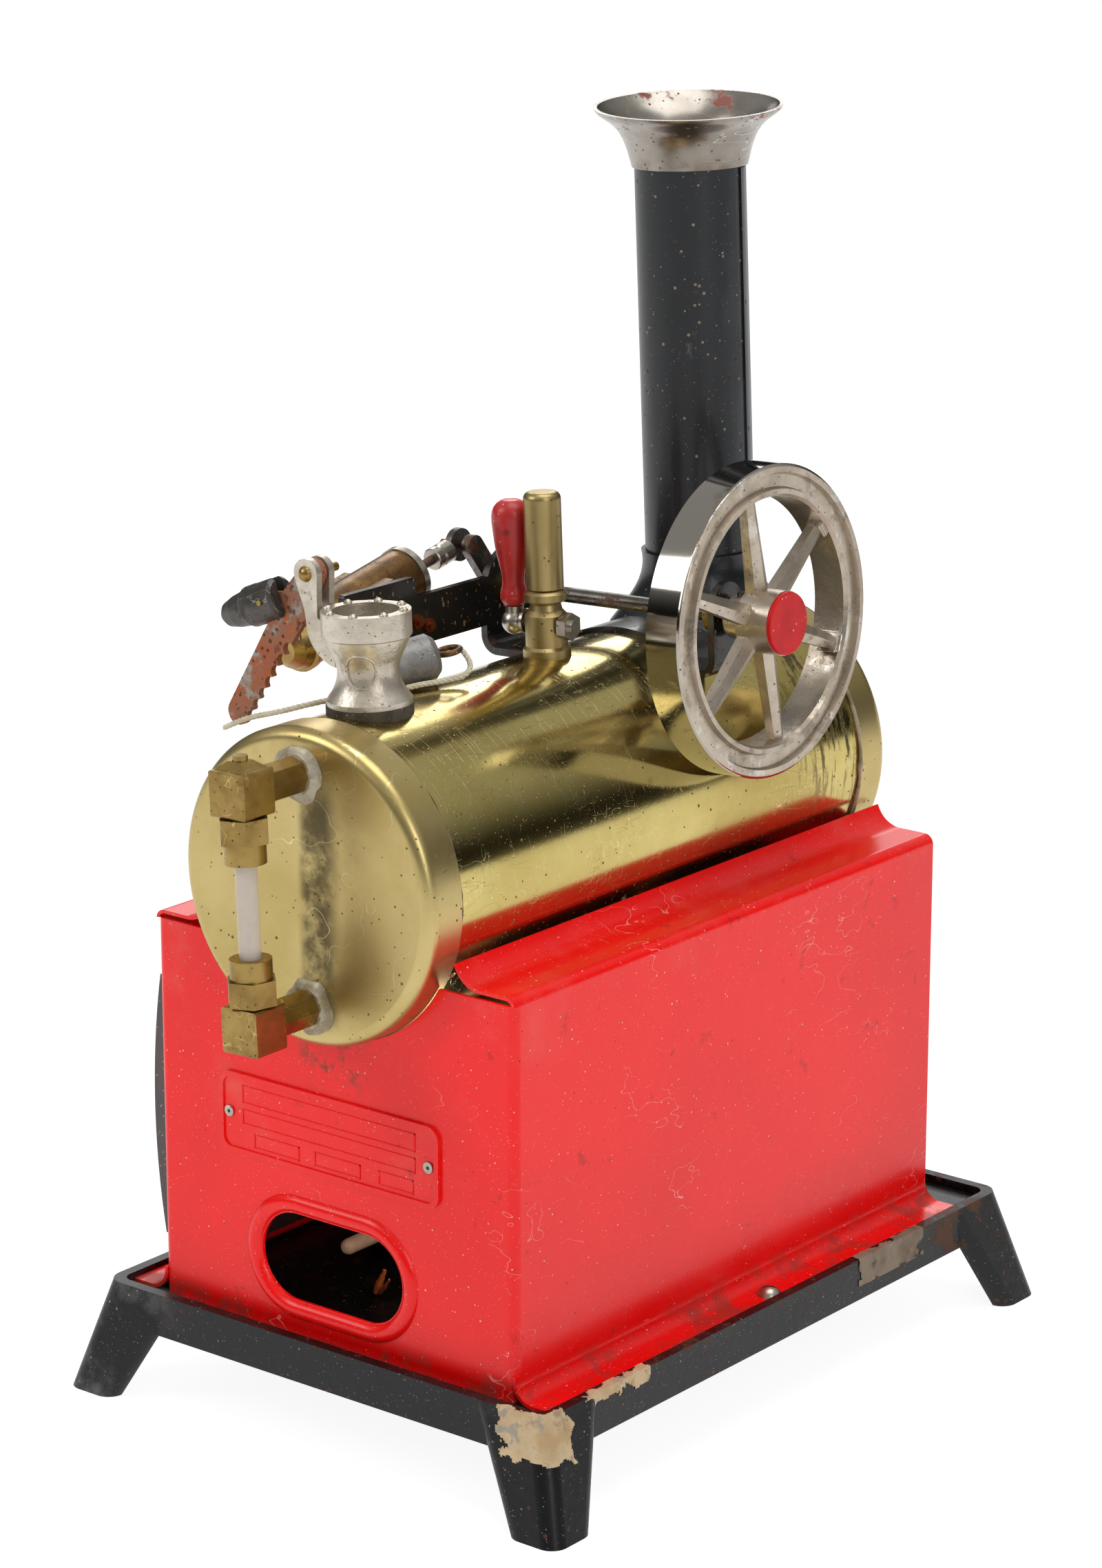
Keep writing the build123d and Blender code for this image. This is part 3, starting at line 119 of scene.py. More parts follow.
class NodeTree:
    """Adds nodes to a material's tree."""

    def __init__(self, tree: bpy.types.NodeTree) -> None:
        """Work on one node tree."""
        self.tree = tree

    def node(self, kind: str, sockets: dict, output: int | str = 0, **settings: object) -> Sock:
        """Add one node.

        Args:
            kind: the node's type name.
            sockets: input name or index to a value or another node's socket.
            output: which output to hand back.
            **settings: the node's own properties, set before its sockets.

        Returns:
            The chosen output.
        """
        made = self.tree.nodes.new(kind)
        for key, value in settings.items():
            setattr(made, key, value)
        for key, value in sockets.items():
            if isinstance(value, Sock):
                self.tree.links.new(value.out, made.inputs[key])
            else:
                made.inputs[key].default_value = value
        return Sock(self, made.outputs[output])

    def mix(self, factor: Sock | float, a: object, b: object) -> Sock:
        """Blend colour a towards colour b by factor."""
        return self.node("ShaderNodeMix", {0: factor, 6: a, 7: b}, 2, data_type="RGBA")

    def blend(self, factor: Sock | float, a: Sock | float, b: Sock | float) -> Sock:
        """Blend number a towards number b by factor."""
        return self.node("ShaderNodeMix", {0: factor, 2: a, 3: b}, 0, data_type="FLOAT")

    def place(self, stretch: tuple[float, float, float], shift: float = 0.0) -> Sock:
        """Object coordinates, stretched per axis and moved by one shift."""
        where = self.node("ShaderNodeTexCoord", {}, "Object")
        return self.node("ShaderNodeMapping", {"Vector": where, "Scale": stretch, "Location": (shift,) * 3})

    def noise(self, place: Sock, scale: float, detail: float = 5.0, rough: float = 0.6) -> Sock:
        """Cloudy noise from 0 to 1, in features per metre."""
        sockets = {"Vector": place, "Scale": scale, "Detail": detail, "Roughness": rough}
        return self.node("ShaderNodeTexNoise", sockets, "Fac")


class Pattern(Enum):
    """The kinds of marks that a finish can carry."""

    PATCHES = "patches"
    SPECKS = "specks"
    SCRATCHES = "scratches"
    DUST = "dust"
    ALL = "all"


@dataclass(frozen=True)
class Region:
    """A soft band along one object axis, in mm: full from full on, gone at gone."""

    axis: int
    gone: float
    full: float

    def mask(self, nodes: NodeTree) -> Sock:
        """Place along the axis, stepped.

        Args:
            nodes: the tree to add to.

        Returns:
            The mask.
        """
        where = nodes.node("ShaderNodeTexCoord", {}, "Object")
        along = nodes.node("ShaderNodeSeparateXYZ", {"Vector": where}, self.axis)
        return (along * (1 / MM)).ramp(self.gone, self.full)


@dataclass(frozen=True)
class Round:
    """A soft ring about a line through a centre, in mm: full from full on, gone at gone."""

    centre: tuple[float, float, float]
    along: tuple[float, float, float]
    gone: float
    full: float

    def mask(self, nodes: NodeTree) -> Sock:
        """Distance from the line, stepped.

        Args:
            nodes: the tree to add to.

        Returns:
            The mask.
        """
        where = nodes.node("ShaderNodeTexCoord", {}, "Object")
        centre = tuple(Shapes.on_boiler() @ Vector(self.centre))
        away = nodes.node("ShaderNodeVectorMath", {0: where, 1: centre}, operation="SUBTRACT")
        line = tuple((Shapes.on_boiler().to_3x3() @ Vector(self.along)).normalized())
        cross = nodes.node("ShaderNodeVectorMath", {0: away, 1: line}, operation="CROSS_PRODUCT")
        distance = nodes.node("ShaderNodeVectorMath", {0: cross}, "Value", operation="LENGTH")
        return (distance * (1 / MM)).ramp(self.gone, self.full)


@dataclass(frozen=True)
class Mark:
    """One layer over a finish: wear and dirt, and in one place painted shade."""

    pattern: Pattern
    colour: str
    scale: float
    low: float = 0.5
    high: float = 0.6
    amount: float = 1.0
    rough: float = 0.6
    metal: float = 0.0
    height: float = 0.0
    stretch: tuple[float, float, float] = (1.0, 1.0, 1.0)
    where: "tuple[Region | Round, ...]" = ()
    flat: bool = False

    def mask(self, nodes: NodeTree, seed: float) -> Sock:
        """Where the mark shows, from 0 to 1.

        Args:
            nodes: the tree to add to.
            seed: shift that makes this mark's noise its own.

        Returns:
            The mask.
        """
        place = nodes.place(self.stretch, seed)
        if self.pattern is Pattern.PATCHES:
            mask = nodes.noise(place, self.scale, 8.0, 0.65).ramp(self.low, self.high)
        elif self.pattern is Pattern.SPECKS:
            sockets = {"Vector": place, "Scale": self.scale}
            near = nodes.node("ShaderNodeTexVoronoi", sockets, "Distance")
            size = nodes.noise(place, self.scale * 0.3, 2.0) * self.high
            mask = (size - near).ramp(0.0, 0.06)
        elif self.pattern is Pattern.SCRATCHES:
            line = abs(nodes.noise(place, self.scale, 2.0, 0.5) - 0.5).ramp(self.high, 0.0)
            broken = nodes.noise(nodes.place((1, 1, 1), seed + 3), self.scale * 0.4, 3.0)
            mask = line * broken.ramp(self.low, self.low + 0.08)
        elif self.pattern is Pattern.DUST:
            normal = nodes.node("ShaderNodeTexCoord", {}, "Normal")
            up = nodes.node("ShaderNodeSeparateXYZ", {"Vector": normal}, "Z")
            mask = up.ramp(0.55, 0.98) * nodes.noise(place, self.scale, 7.0, 0.7).ramp(self.low, self.high)
        else:
            mask = nodes.noise(place, self.scale, 3.0).ramp(0.0, 0.1)
        for region in self.where:
            mask = mask * region.mask(nodes)
        return mask * self.amount


@dataclass(frozen=True)
class Finish:
    """A surface finish: a base with slow variation, a grain, and marks laid over it in order."""

    name: str
    colour: str
    other: str
    scale: float = 60.0
    rough: float = 0.4
    rough_spread: float = 0.15
    metal: float = 0.0
    coat: float = 0.0
    grain: float = 900.0
    grain_height: float = 0.02
    stretch: tuple[float, float, float] = (1.0, 1.0, 1.0)
    marks: tuple[Mark, ...] = ()
    alpha: float = 1.0
    sheen: float = 0.0
    specular: float = 0.5

    def material(self) -> bpy.types.Material:
        """Build the material, or hand back the one already built.

        Returns:
            The material.
        """
        done = bpy.data.materials.get(self.name)
        if done is not None:
            return done
        material = bpy.data.materials.new(self.name)
        material.use_nodes = True
        shader = material.node_tree.nodes["Principled BSDF"]
        nodes = NodeTree(material.node_tree)
        place = nodes.place(self.stretch)
        cloud = nodes.noise(place, self.scale, 6.0)
        grain = nodes.noise(place, self.grain, 3.0)
        colour = nodes.mix(cloud.ramp(0.35, 0.68), srgb(self.colour), srgb(self.other))
        rough = cloud * self.rough_spread + (self.rough - 0.5 * self.rough_spread)
        metal: Sock | float = self.metal
        height = grain * self.grain_height
        for index, mark in enumerate(self.marks):
            mask = mark.mask(nodes, 1.7 * (index + 1))
            colour = nodes.mix(mask, colour, srgb(mark.colour))
            rough = nodes.blend(mask, rough, mark.rough)
            if mark.metal != self.metal or isinstance(metal, Sock):
                metal = nodes.blend(mask, metal, mark.metal)
            if mark.flat:
                height = height * (1.0 - mask)
            if mark.height:
                height = height + mask * mark.height
        links = material.node_tree.links
        links.new(colour.out, shader.inputs["Base Color"])
        links.new(rough.out, shader.inputs["Roughness"])
        if isinstance(metal, Sock):
            links.new(metal.out, shader.inputs["Metallic"])
        else:
            shader.inputs["Metallic"].default_value = metal
        bump = nodes.node("ShaderNodeBump", {"Strength": 0.5, "Distance": 0.0008, "Height": height})
        links.new(bump.out, shader.inputs["Normal"])
        shader.inputs["Coat Weight"].default_value = self.coat
        shader.inputs["Coat Roughness"].default_value = 0.08
        shader.inputs["Alpha"].default_value = self.alpha
        shader.inputs["Sheen Weight"].default_value = self.sheen
        shader.inputs["Specular IOR Level"].default_value = self.specular
        return material


DUST = Mark(Pattern.DUST, "8d877c", 160, 0.35, 0.75, 0.45, 0.85)
DUST_SPOTS = Mark(Pattern.SPECKS, "cfc6b4", 900, high=0.3, amount=0.6, rough=0.8)

CAST_BLACK = Finish(
    "cast_black_enamel", "050506", "0a0a0b", 40, 0.42, 0.14, 0.0, 0.08, 260, 0.3, specular=0.32,
    marks=(
        Mark(Pattern.DUST, "5a595a", 90, 0.5, 0.85, 0.18, 0.7),
        Mark(Pattern.PATCHES, "8b8a8a", 55, 0.49, 0.7, 0.45, 0.8, where=(Region(0, -30, -56), Region(1, -40, -70))),
        Mark(Pattern.PATCHES, "55504a", 70, 0.52, 0.7, 0.45, 0.8, where=(Region(2, 20.5, 22.8), Region(0, 20, 50))),
        Mark(Pattern.SPECKS, "8d8f92", 1100, high=0.26, amount=0.8, rough=0.4, height=0.2),
        Mark(Pattern.SPECKS, "a08c70", 420, high=0.2, amount=0.9, rough=0.7, height=-0.25),
        Mark(Pattern.SPECKS, "5b3420", 260, high=0.26, amount=0.8, rough=0.85, height=-0.3),
        Mark(
            Pattern.PATCHES, "5e3a24", 75, 0.52, 0.6, 0.9, 0.9, height=0.3,
            where=(Region(0, 45, 57), Region(1, 30, 80), Region(2, 12, 18)),
        ),
        Mark(Pattern.PATCHES, "4f3423", 90, 0.56, 0.63, 0.7, 0.9, height=0.3, where=(Region(2, 9, 2),)),
        Mark(Pattern.PATCHES, "5a3a26", 130, 0.54, 0.62, 0.6, 0.9, where=(Region(2, 21, 23.5), Region(1, -60, -30))),
    ),
)
RED_ENAMEL = Finish(
    "glossy_red_enamel", "fc0a08", "f00806", 18, 0.3, 0.06, 0.0, 0.1, 260, 0.03, specular=0.36,
    marks=(
        Mark(
            Pattern.ALL, "3a3531", 10, rough=0.6, metal=0.3,
            where=(
                Region(0, 45.9, 45.6), Region(0, -45.9, -45.6), Region(1, -62.5, -61.5), Region(1, 74.9, 74.7),
                Region(2, 84, 80),
            ),
        ),
        # painted shade: a patchy, slightly darker and glossier red low on the +X side of the firebox
        Mark(Pattern.PATCHES, "f00404", 40, 0.4, 0.6, 0.7, 0.2, where=(Region(2, 44, 38), Region(0, 40, 46))),
        Mark(Pattern.PATCHES, "e07a6c", 26, 0.5, 0.75, 0.35, 0.5, where=(Region(2, 86, 97),)),
        Mark(Pattern.PATCHES, "e58a7c", 30, 0.5, 0.75, 0.3, 0.5, where=(Region(1, -55, -60), Region(2, 50, 75))),
        Mark(Pattern.SPECKS, "f0d9cc", 520, high=0.19, amount=0.7, rough=0.6),
        Mark(Pattern.SPECKS, "f6d8ce", 1300, high=0.23, amount=0.5, rough=0.6),
        Mark(Pattern.PATCHES, "7d0a0e", 120, 0.62, 0.7, 0.4, 0.5),
        Mark(Pattern.SPECKS, "3a0d0b", 300, high=0.13, amount=0.8, rough=0.7, height=-0.2),
        Mark(Pattern.PATCHES, "6b3226", 110, 0.45, 0.6, 0.6, 0.7, where=(Region(2, 28, 23),)),
        Mark(Pattern.SCRATCHES, "f0b8ae", 90, 0.56, 0.005, 0.6, 0.4, stretch=(1, 1, 2)),
        Mark(
            Pattern.PATCHES, "6a4434", 240, 0.48, 0.62, 0.8, 0.8,
            where=(Round((-1, -73, 86), (0, 1, 0), 13, 4), Region(1, -64, -65)),
        ),
    ),
)
INSIDE_SHEET = Finish(
    "sooty_sheet", "7b7268", "9a9082", 50, 0.6, 0.2, 0.3, 0.0, 400, 0.15,
    marks=(Mark(Pattern.PATCHES, "3a312b", 60, 0.54, 0.66, 0.6, 0.85), DUST),
)
NICKEL = Finish(
    "aged_nickel", "c2bcb2", "a29a8e", 90, 0.3, 0.14, 1.0, 0.0, 700, 0.08,
    marks=(
        Mark(Pattern.PATCHES, "7f766a", 150, 0.56, 0.7, 0.5, 0.5, 1.0),
        Mark(Pattern.SPECKS, "5a4a38", 600, high=0.3, amount=0.6, rough=0.7),
    ),
)
CAST_NICKEL = Finish(
    "cast_valve_nickel", "d8d0c2", "bdb19f", 130, 0.38, 0.12, 0.8, 0.0, 500, 0.35,
    marks=(
        Mark(Pattern.PATCHES, "8e8273", 190, 0.56, 0.68, 0.55, 0.5, 0.8, -0.1),
        Mark(Pattern.SCRATCHES, "e6e1d8", 110, 0.5, 0.012, 0.5, 0.25, 1.0, 0.05, (1, 1, 6)),
        Mark(Pattern.SPECKS, "4b3f33", 700, high=0.3, amount=0.7, rough=0.8, height=-0.2),
    ),
)
VALVE_FOOT = ((0.0, -58.9, 150.0), (0.0, 0.0, 1.0))
BOILER_BRASS = Finish(
    "polished_boiler_brass", "cfbd78", "bfab66", 28, 0.15, 0.08, 1.0, 0.0, 900, 0.015,
    marks=(
        Mark(Pattern.PATCHES, "a38c4c", 30, 0.5, 0.7, 0.5, 0.24, 1.0, stretch=(1, 0.6, 1)),
        Mark(Pattern.PATCHES, "70582c", 120, 0.63, 0.72, 0.5, 0.42, 0.9),
        Mark(
            Pattern.PATCHES, "6b4a22", 75, 0.4, 0.6, 0.7, 0.45, 0.85,
            where=(Round(*VALVE_FOOT, 15.0, 9.0), Region(2, 138, 143)),
        ),
        Mark(
            Pattern.PATCHES, "3e2f16", 160, 0.5, 0.58, 0.9, 0.5, 0.6,
            stretch=(1, 3.4, 0.5), where=(Region(1, 40, 60), Region(2, 105, 125)),
        ),
        Mark(
            Pattern.PATCHES, "3a2a14", 210, 0.53, 0.58, 0.9, 0.5, 0.6,
            stretch=(1, 2.6, 0.35), where=(Region(2, 104, 96), Region(1, 0, 30)),
        ),
        Mark(
            Pattern.PATCHES, "8f9a94", 190, 0.56, 0.62, 0.8, 0.7, 0.2,
            where=(Region(2, 112, 106), Region(1, -34, -26), Region(1, 0, -10)),
        ),
        Mark(Pattern.SPECKS, "4a3a1c", 420, high=0.25, amount=0.8, rough=0.6, metal=0.5, height=-0.12),
        Mark(
            Pattern.SPECKS, "3a2c14", 300, high=0.38, amount=0.9, rough=0.7, metal=0.4, height=-0.2,
            where=(Region(2, 112, 100), Region(1, -10, -30)),
        ),
        Mark(Pattern.SCRATCHES, "f4eabd", 50, 0.5, 0.004, 0.55, 0.16, 1.0, -0.03, (1, 5, 1)),
        Mark(Pattern.SCRATCHES, "6e5a2c", 90, 0.52, 0.005, 0.5, 0.36, 1.0, -0.03, (4, 1, 4)),
        Mark(Pattern.SCRATCHES, "f4eabd", 160, 0.48, 0.006, 0.5, 0.16, 1.0, -0.02, (2, 1, 2)),
        Mark(Pattern.SPECKS, "efe6cf", 1000, high=0.24, amount=0.5, rough=0.7, metal=0.2),
    ),
)
CAP_BRASS = Finish(
    "dull_cap_brass", "c9b57c", "bba66a", 40, 0.36, 0.1, 1.0, 0.0, 800, 0.04,
    marks=(
        Mark(Pattern.PATCHES, "a08a55", 45, 0.54, 0.7, 0.4, 0.36, 1.0),
        Mark(
            Pattern.PATCHES, "33260f", 90, 0.36, 0.6, 0.8, 0.6, 0.6,
            where=(Region(0, 10, 5), Region(0, -2, 1), Region(2, 90, 95), Region(2, 148, 134)),
        ),
        Mark(Pattern.SPECKS, "4d3b20", 520, high=0.27, amount=0.8, rough=0.7, metal=0.4, height=-0.08),
        Mark(Pattern.SCRATCHES, "efe3b4", 70, 0.5, 0.004, 0.5, 0.22, 1.0, -0.03),
    ),
)
WHISTLE_BRASS = Finish(
    "whistle_brass", "b09c6c", "9a8656", 90, 0.4, 0.12, 1.0, 0.0, 700, 0.05, (1, 1, 0.3),
    marks=(
        Mark(Pattern.PATCHES, "7a6a42", 90, 0.55, 0.68, 0.5, 0.46, 1.0, stretch=(1, 1, 0.5)),
        Mark(Pattern.SPECKS, "3a2b16", 600, high=0.27, amount=0.8, rough=0.7, metal=0.4),
    ),
)
FITTING_BRASS = Finish(
    "fitting_brass", "a78c52", "8a7040", 130, 0.36, 0.15, 1.0, 0.0, 700, 0.08,
    marks=(
        Mark(Pattern.PATCHES, "6a5028", 160, 0.56, 0.68, 0.6, 0.45, 0.95),
        Mark(Pattern.SPECKS, "2f2112", 700, high=0.27, amount=0.8, rough=0.75, metal=0.3, height=-0.1),
        Mark(Pattern.SCRATCHES, "dcc88c", 180, 0.5, 0.01, 0.5, 0.22, 1.0, -0.03),
    ),
)
CYLINDER_BRASS = Finish(
    "brown_cylinder_brass", "7d5c34", "5d4226", 120, 0.36, 0.16, 0.9, 0.0, 500, 0.2,
    marks=(
        Mark(Pattern.PATCHES, "a98a4e", 150, 0.55, 0.66, 0.7, 0.3, 1.0),
        Mark(Pattern.PATCHES, "33241a", 200, 0.56, 0.64, 0.7, 0.7, 0.4),
        Mark(Pattern.SPECKS, "231912", 800, high=0.33, amount=0.8, rough=0.8),
    ),
)
COVER_BRASS = Finish(
    "light_cover_brass", "b89c66", "9a7e4a", 110, 0.4, 0.14, 0.95, 0.0, 600, 0.12,
    marks=(
        Mark(Pattern.PATCHES, "4b3520", 120, 0.56, 0.68, 0.75, 0.7, 0.3),
        Mark(Pattern.SPECKS, "2f2013", 700, high=0.32, amount=0.8, rough=0.8),
        Mark(Pattern.SCRATCHES, "e8d8a4", 150, 0.48, 0.008, 0.5, 0.25, 1.0, -0.03),
    ),
)
GAUGE_TUBE = Finish("gauge_tube_glass", "e6dcd2", "d8cec4", 80, 0.08, 0.04, 0.0, 0.3, 300, 0.0, alpha=0.5)
PACKING = Finish("packing", "3a342b", "544b3d", 300, 0.8, 0.1, grain=1500, grain_height=0.5, marks=(DUST_SPOTS,))
RUST = Finish(
    "rusty_lever", "a85a34", "97705a", 75, 0.72, 0.2, 0.1, 0.0, 420, 0.6,
    marks=(
        Mark(Pattern.PATCHES, "a39b90", 130, 0.5, 0.57, 0.9, 0.5, 0.5, -0.3),
        Mark(Pattern.PATCHES, "cf6a30", 210, 0.55, 0.62, 0.9, 0.85, 0.0, 0.3),
        Mark(Pattern.PATCHES, "4b2a1a", 260, 0.6, 0.66, 0.8, 0.9, 0.0, -0.4),
        Mark(Pattern.SPECKS, "3f2418", 600, high=0.42, amount=0.8, rough=0.9, height=-0.6),
    ),
)
DARK_STEEL = Finish(
    "dark_steel", "6f6a64", "59534c", 140, 0.35, 0.15, 1.0, 0.0, 600, 0.12,
    marks=(
        Mark(Pattern.PATCHES, "6b4227", 170, 0.54, 0.63, 0.7, 0.8, 0.2, 0.1),
        Mark(Pattern.SPECKS, "2a1d14", 700, high=0.33, amount=0.7, rough=0.85),
        Mark(Pattern.SCRATCHES, "c8c3ba", 160, 0.48, 0.01, 0.5, 0.25, 1.0, -0.03),
    ),
)
ZINC = Finish(
    "dark_plug_zinc", "5d5a57", "47443f", 160, 0.45, 0.14, 0.85, 0.0, 700, 0.15,
    marks=(
        Mark(Pattern.PATCHES, "2c2a28", 180, 0.55, 0.66, 0.6, 0.6, 0.6),
        Mark(Pattern.SCRATCHES, "cbc8c2", 170, 0.46, 0.01, 0.6, 0.25, 1.0, -0.05, (1, 5, 1)),
        Mark(Pattern.SPECKS, "2a2724", 800, high=0.34, amount=0.7, rough=0.8, height=-0.2),
    ),
)
WEIGHT_LEAD = Finish(
    "grey_weight_lead", "92908d", "7b7976", 150, 0.52, 0.12, 0.6, 0.0, 700, 0.15,
    marks=(
        Mark(Pattern.PATCHES, "66635f", 180, 0.57, 0.66, 0.6, 0.6, 0.5),
        Mark(Pattern.SCRATCHES, "dddbd6", 150, 0.47, 0.009, 0.6, 0.3, 0.9, -0.05, (1, 5, 1)),
        Mark(Pattern.SPECKS, "4a4642", 800, high=0.32, amount=0.7, rough=0.8, height=-0.2),
    ),
)
DARK_WIRE = Finish("tarnished_wire", "6d4f33", "543a24", 200, 0.45, 0.15, 0.8, 0.0, 900, 0.1, marks=(DUST_SPOTS,))
COTTON = Finish("twisted_cotton", "e8e1cd", "d4c9ab", 260, 0.9, 0.08, grain=4200, grain_height=0.8, sheen=0.4)
RED_WOOD = Finish(
    "red_lacquered_wood", "cf2426", "ab181a", 130, 0.42, 0.12, 0.0, 0.15, 300, 0.2, (1, 1, 0.2),
    marks=(
        Mark(Pattern.PATCHES, "3a0a0a", 150, 0.58, 0.66, 0.6, 0.6),
        Mark(Pattern.SPECKS, "e7b9ae", 600, high=0.28, amount=0.6, rough=0.6),
    ),
)
BLACK_SHEET = Finish(
    "black_stove_enamel", "14171c", "0e1115", 45, 0.36, 0.1, 0.1, 0.1, 420, 0.06,
    marks=(
        Mark(Pattern.PATCHES, "474c55", 40, 0.5, 0.7, 0.4, 0.5, stretch=(1, 1, 0.35)),
        Mark(Pattern.SPECKS, "c9c2b4", 1100, high=0.2, amount=0.6, rough=0.7),
        Mark(Pattern.PATCHES, "8d929a", 140, 0.66, 0.76, 0.5, 0.55, stretch=(1, 1, 0.4)),
        Mark(Pattern.SPECKS, "9a8a74", 420, high=0.27, amount=0.7, rough=0.7),
        Mark(Pattern.SPECKS, "3f2a1c", 260, high=0.26, amount=0.8, rough=0.8, height=-0.2),
    ),
)
FRAME_BLACK = Finish(
    "black_frame_enamel", "0c0b0a", "15110f", 60, 0.3, 0.12, 0.0, 0.25, 320, 0.12,
    marks=(
        Mark(Pattern.SPECKS, "8c6f47", 300, high=0.36, amount=0.9, rough=0.6, height=-0.2, stretch=(1, 2.2, 1)),
        Mark(Pattern.PATCHES, "4a2a1c", 90, 0.56, 0.64, 0.7, 0.75, height=-0.1),
        Mark(Pattern.SPECKS, "b98e58", 700, high=0.27, amount=0.8, rough=0.6),
    ),
)
BROWN_JAPAN = Finish(
    "brown_lacquer", "3a1d15", "24120e", 70, 0.25, 0.12, 0.0, 0.6, 300, 0.1,
    marks=(Mark(Pattern.SPECKS, "9b7b5c", 420, high=0.3, amount=0.7, rough=0.7), DUST_SPOTS),
)
RED_DISC = Finish(
    "red_hub_paint", "cf0d14", "b80a10", 140, 0.45, 0.1, 0.0, 0.0, 500, 0.12, specular=0.3,
    marks=(Mark(Pattern.SPECKS, "e9c9bd", 700, high=0.3, amount=0.7, rough=0.7),),
)
COPPER = Finish(
    "copper_plate", "9a5a3a", "7a4128", 160, 0.38, 0.15, 0.95, 0.0, 700, 0.15,
    marks=(Mark(Pattern.PATCHES, "4a2a1c", 220, 0.55, 0.64, 0.7, 0.7, 0.4),),
)
CERAMIC = Finish("fired_clay", "b9a987", "8f8266", 90, 0.8, 0.1, grain=700, grain_height=0.3, marks=(DUST,))
WHEEL_AXIS = ((36.0, 19.1, 158.7), (1.0, 0.0, 0.0))
WHEEL_NICKEL = Finish(
    "cast_wheel_nickel", "c4b8a8", "ad9f8e", 110, 0.36, 0.12, 0.9, 0.0, 420, 0.3,
    marks=(
        Mark(Pattern.PATCHES, "7d7264", 140, 0.55, 0.67, 0.6, 0.5, 0.85, -0.15),
        Mark(Pattern.PATCHES, "d9d5cd", 190, 0.57, 0.66, 0.6, 0.25, 1.0),
        Mark(Pattern.SPECKS, "3d3126", 700, high=0.28, amount=0.8, rough=0.8, height=-0.3),
        Mark(Pattern.ALL, "a9a49b", 10, rough=0.07, metal=1.0, where=(Round(*WHEEL_AXIS, 31.4, 31.7),), flat=True),
        Mark(Pattern.PATCHES, "6a5d4c", 60, 0.6, 0.7, 0.45, 0.3, 0.9, where=(Round(*WHEEL_AXIS, 31.4, 31.7),)),
    ),
)
FLUE = ((0.0, 48.2, 240.0), (0.0, 0.0, 1.0))
FLARE_NICKEL = Finish(
    "spun_nickel", "a39d95", "8a837a", 60, 0.27, 0.12, 1.0, 0.0, 900, 0.02,
    marks=(
        Mark(Pattern.PATCHES, "8a8175", 90, 0.55, 0.68, 0.5, 0.35, 1.0),
        Mark(Pattern.PATCHES, "6d4a2c", 110, 0.46, 0.6, 0.8, 0.7, 0.3, where=(Round(*FLUE, 13.2, 11.0),)),
        Mark(Pattern.PATCHES, "8c3a26", 120, 0.58, 0.64, 0.8, 0.8, 0.1, where=(Region(2, 250, 254),)),
        Mark(Pattern.SPECKS, "6b4a2c", 520, high=0.3, amount=0.8, rough=0.75, metal=0.2),
        Mark(Pattern.SCRATCHES, "efece6", 60, 0.5, 0.006, 0.5, 0.18, 1.0, -0.02, (1, 1, 5)),
    ),
)
SOLDER = Finish(
    "old_solder", "b5ac98", "8f8468", 200, 0.5, 0.15, 0.6, 0.0, 500, 0.4,
    marks=(Mark(Pattern.PATCHES, "7a6438", 170, 0.53, 0.65, 0.6, 0.6, 0.6),),
)
PAPER = Finish(
    "old_gummed_paper", "d2bb98", "b89a70", 120, 0.85, 0.1, grain=900, grain_height=0.6,
    marks=(
        Mark(Pattern.PATCHES, "7d6a52", 150, 0.56, 0.66, 0.6, 0.9),
        Mark(Pattern.PATCHES, "b0702f", 170, 0.6, 0.68, 0.7, 0.9),
        Mark(Pattern.PATCHES, "8e8c88", 190, 0.57, 0.63, 0.7, 0.9),
    ),
)
GUM_STAIN = Finish(
    "gum_stain", "6a5848", "8a7a68", 110, 0.85, 0.1, grain=900, grain_height=0.6,
    marks=(
        Mark(Pattern.PATCHES, "a39686", 150, 0.58, 0.68, 0.6, 0.9),
        Mark(Pattern.PATCHES, "3f2f24", 130, 0.55, 0.65, 0.7, 0.9),
    ),
)
SPLINTER_WOOD = Finish(
    "splinter_wood", "d0893a", "a8662a", 90, 0.8, 0.1, grain=600, grain_height=0.5, stretch=(1, 0.1, 1),
)
SEAM_DARK = Finish("seam_dirt", "8d8672", "4a3d27", 300, 0.6, 0.2, 0.4, grain=900, grain_height=0.3)

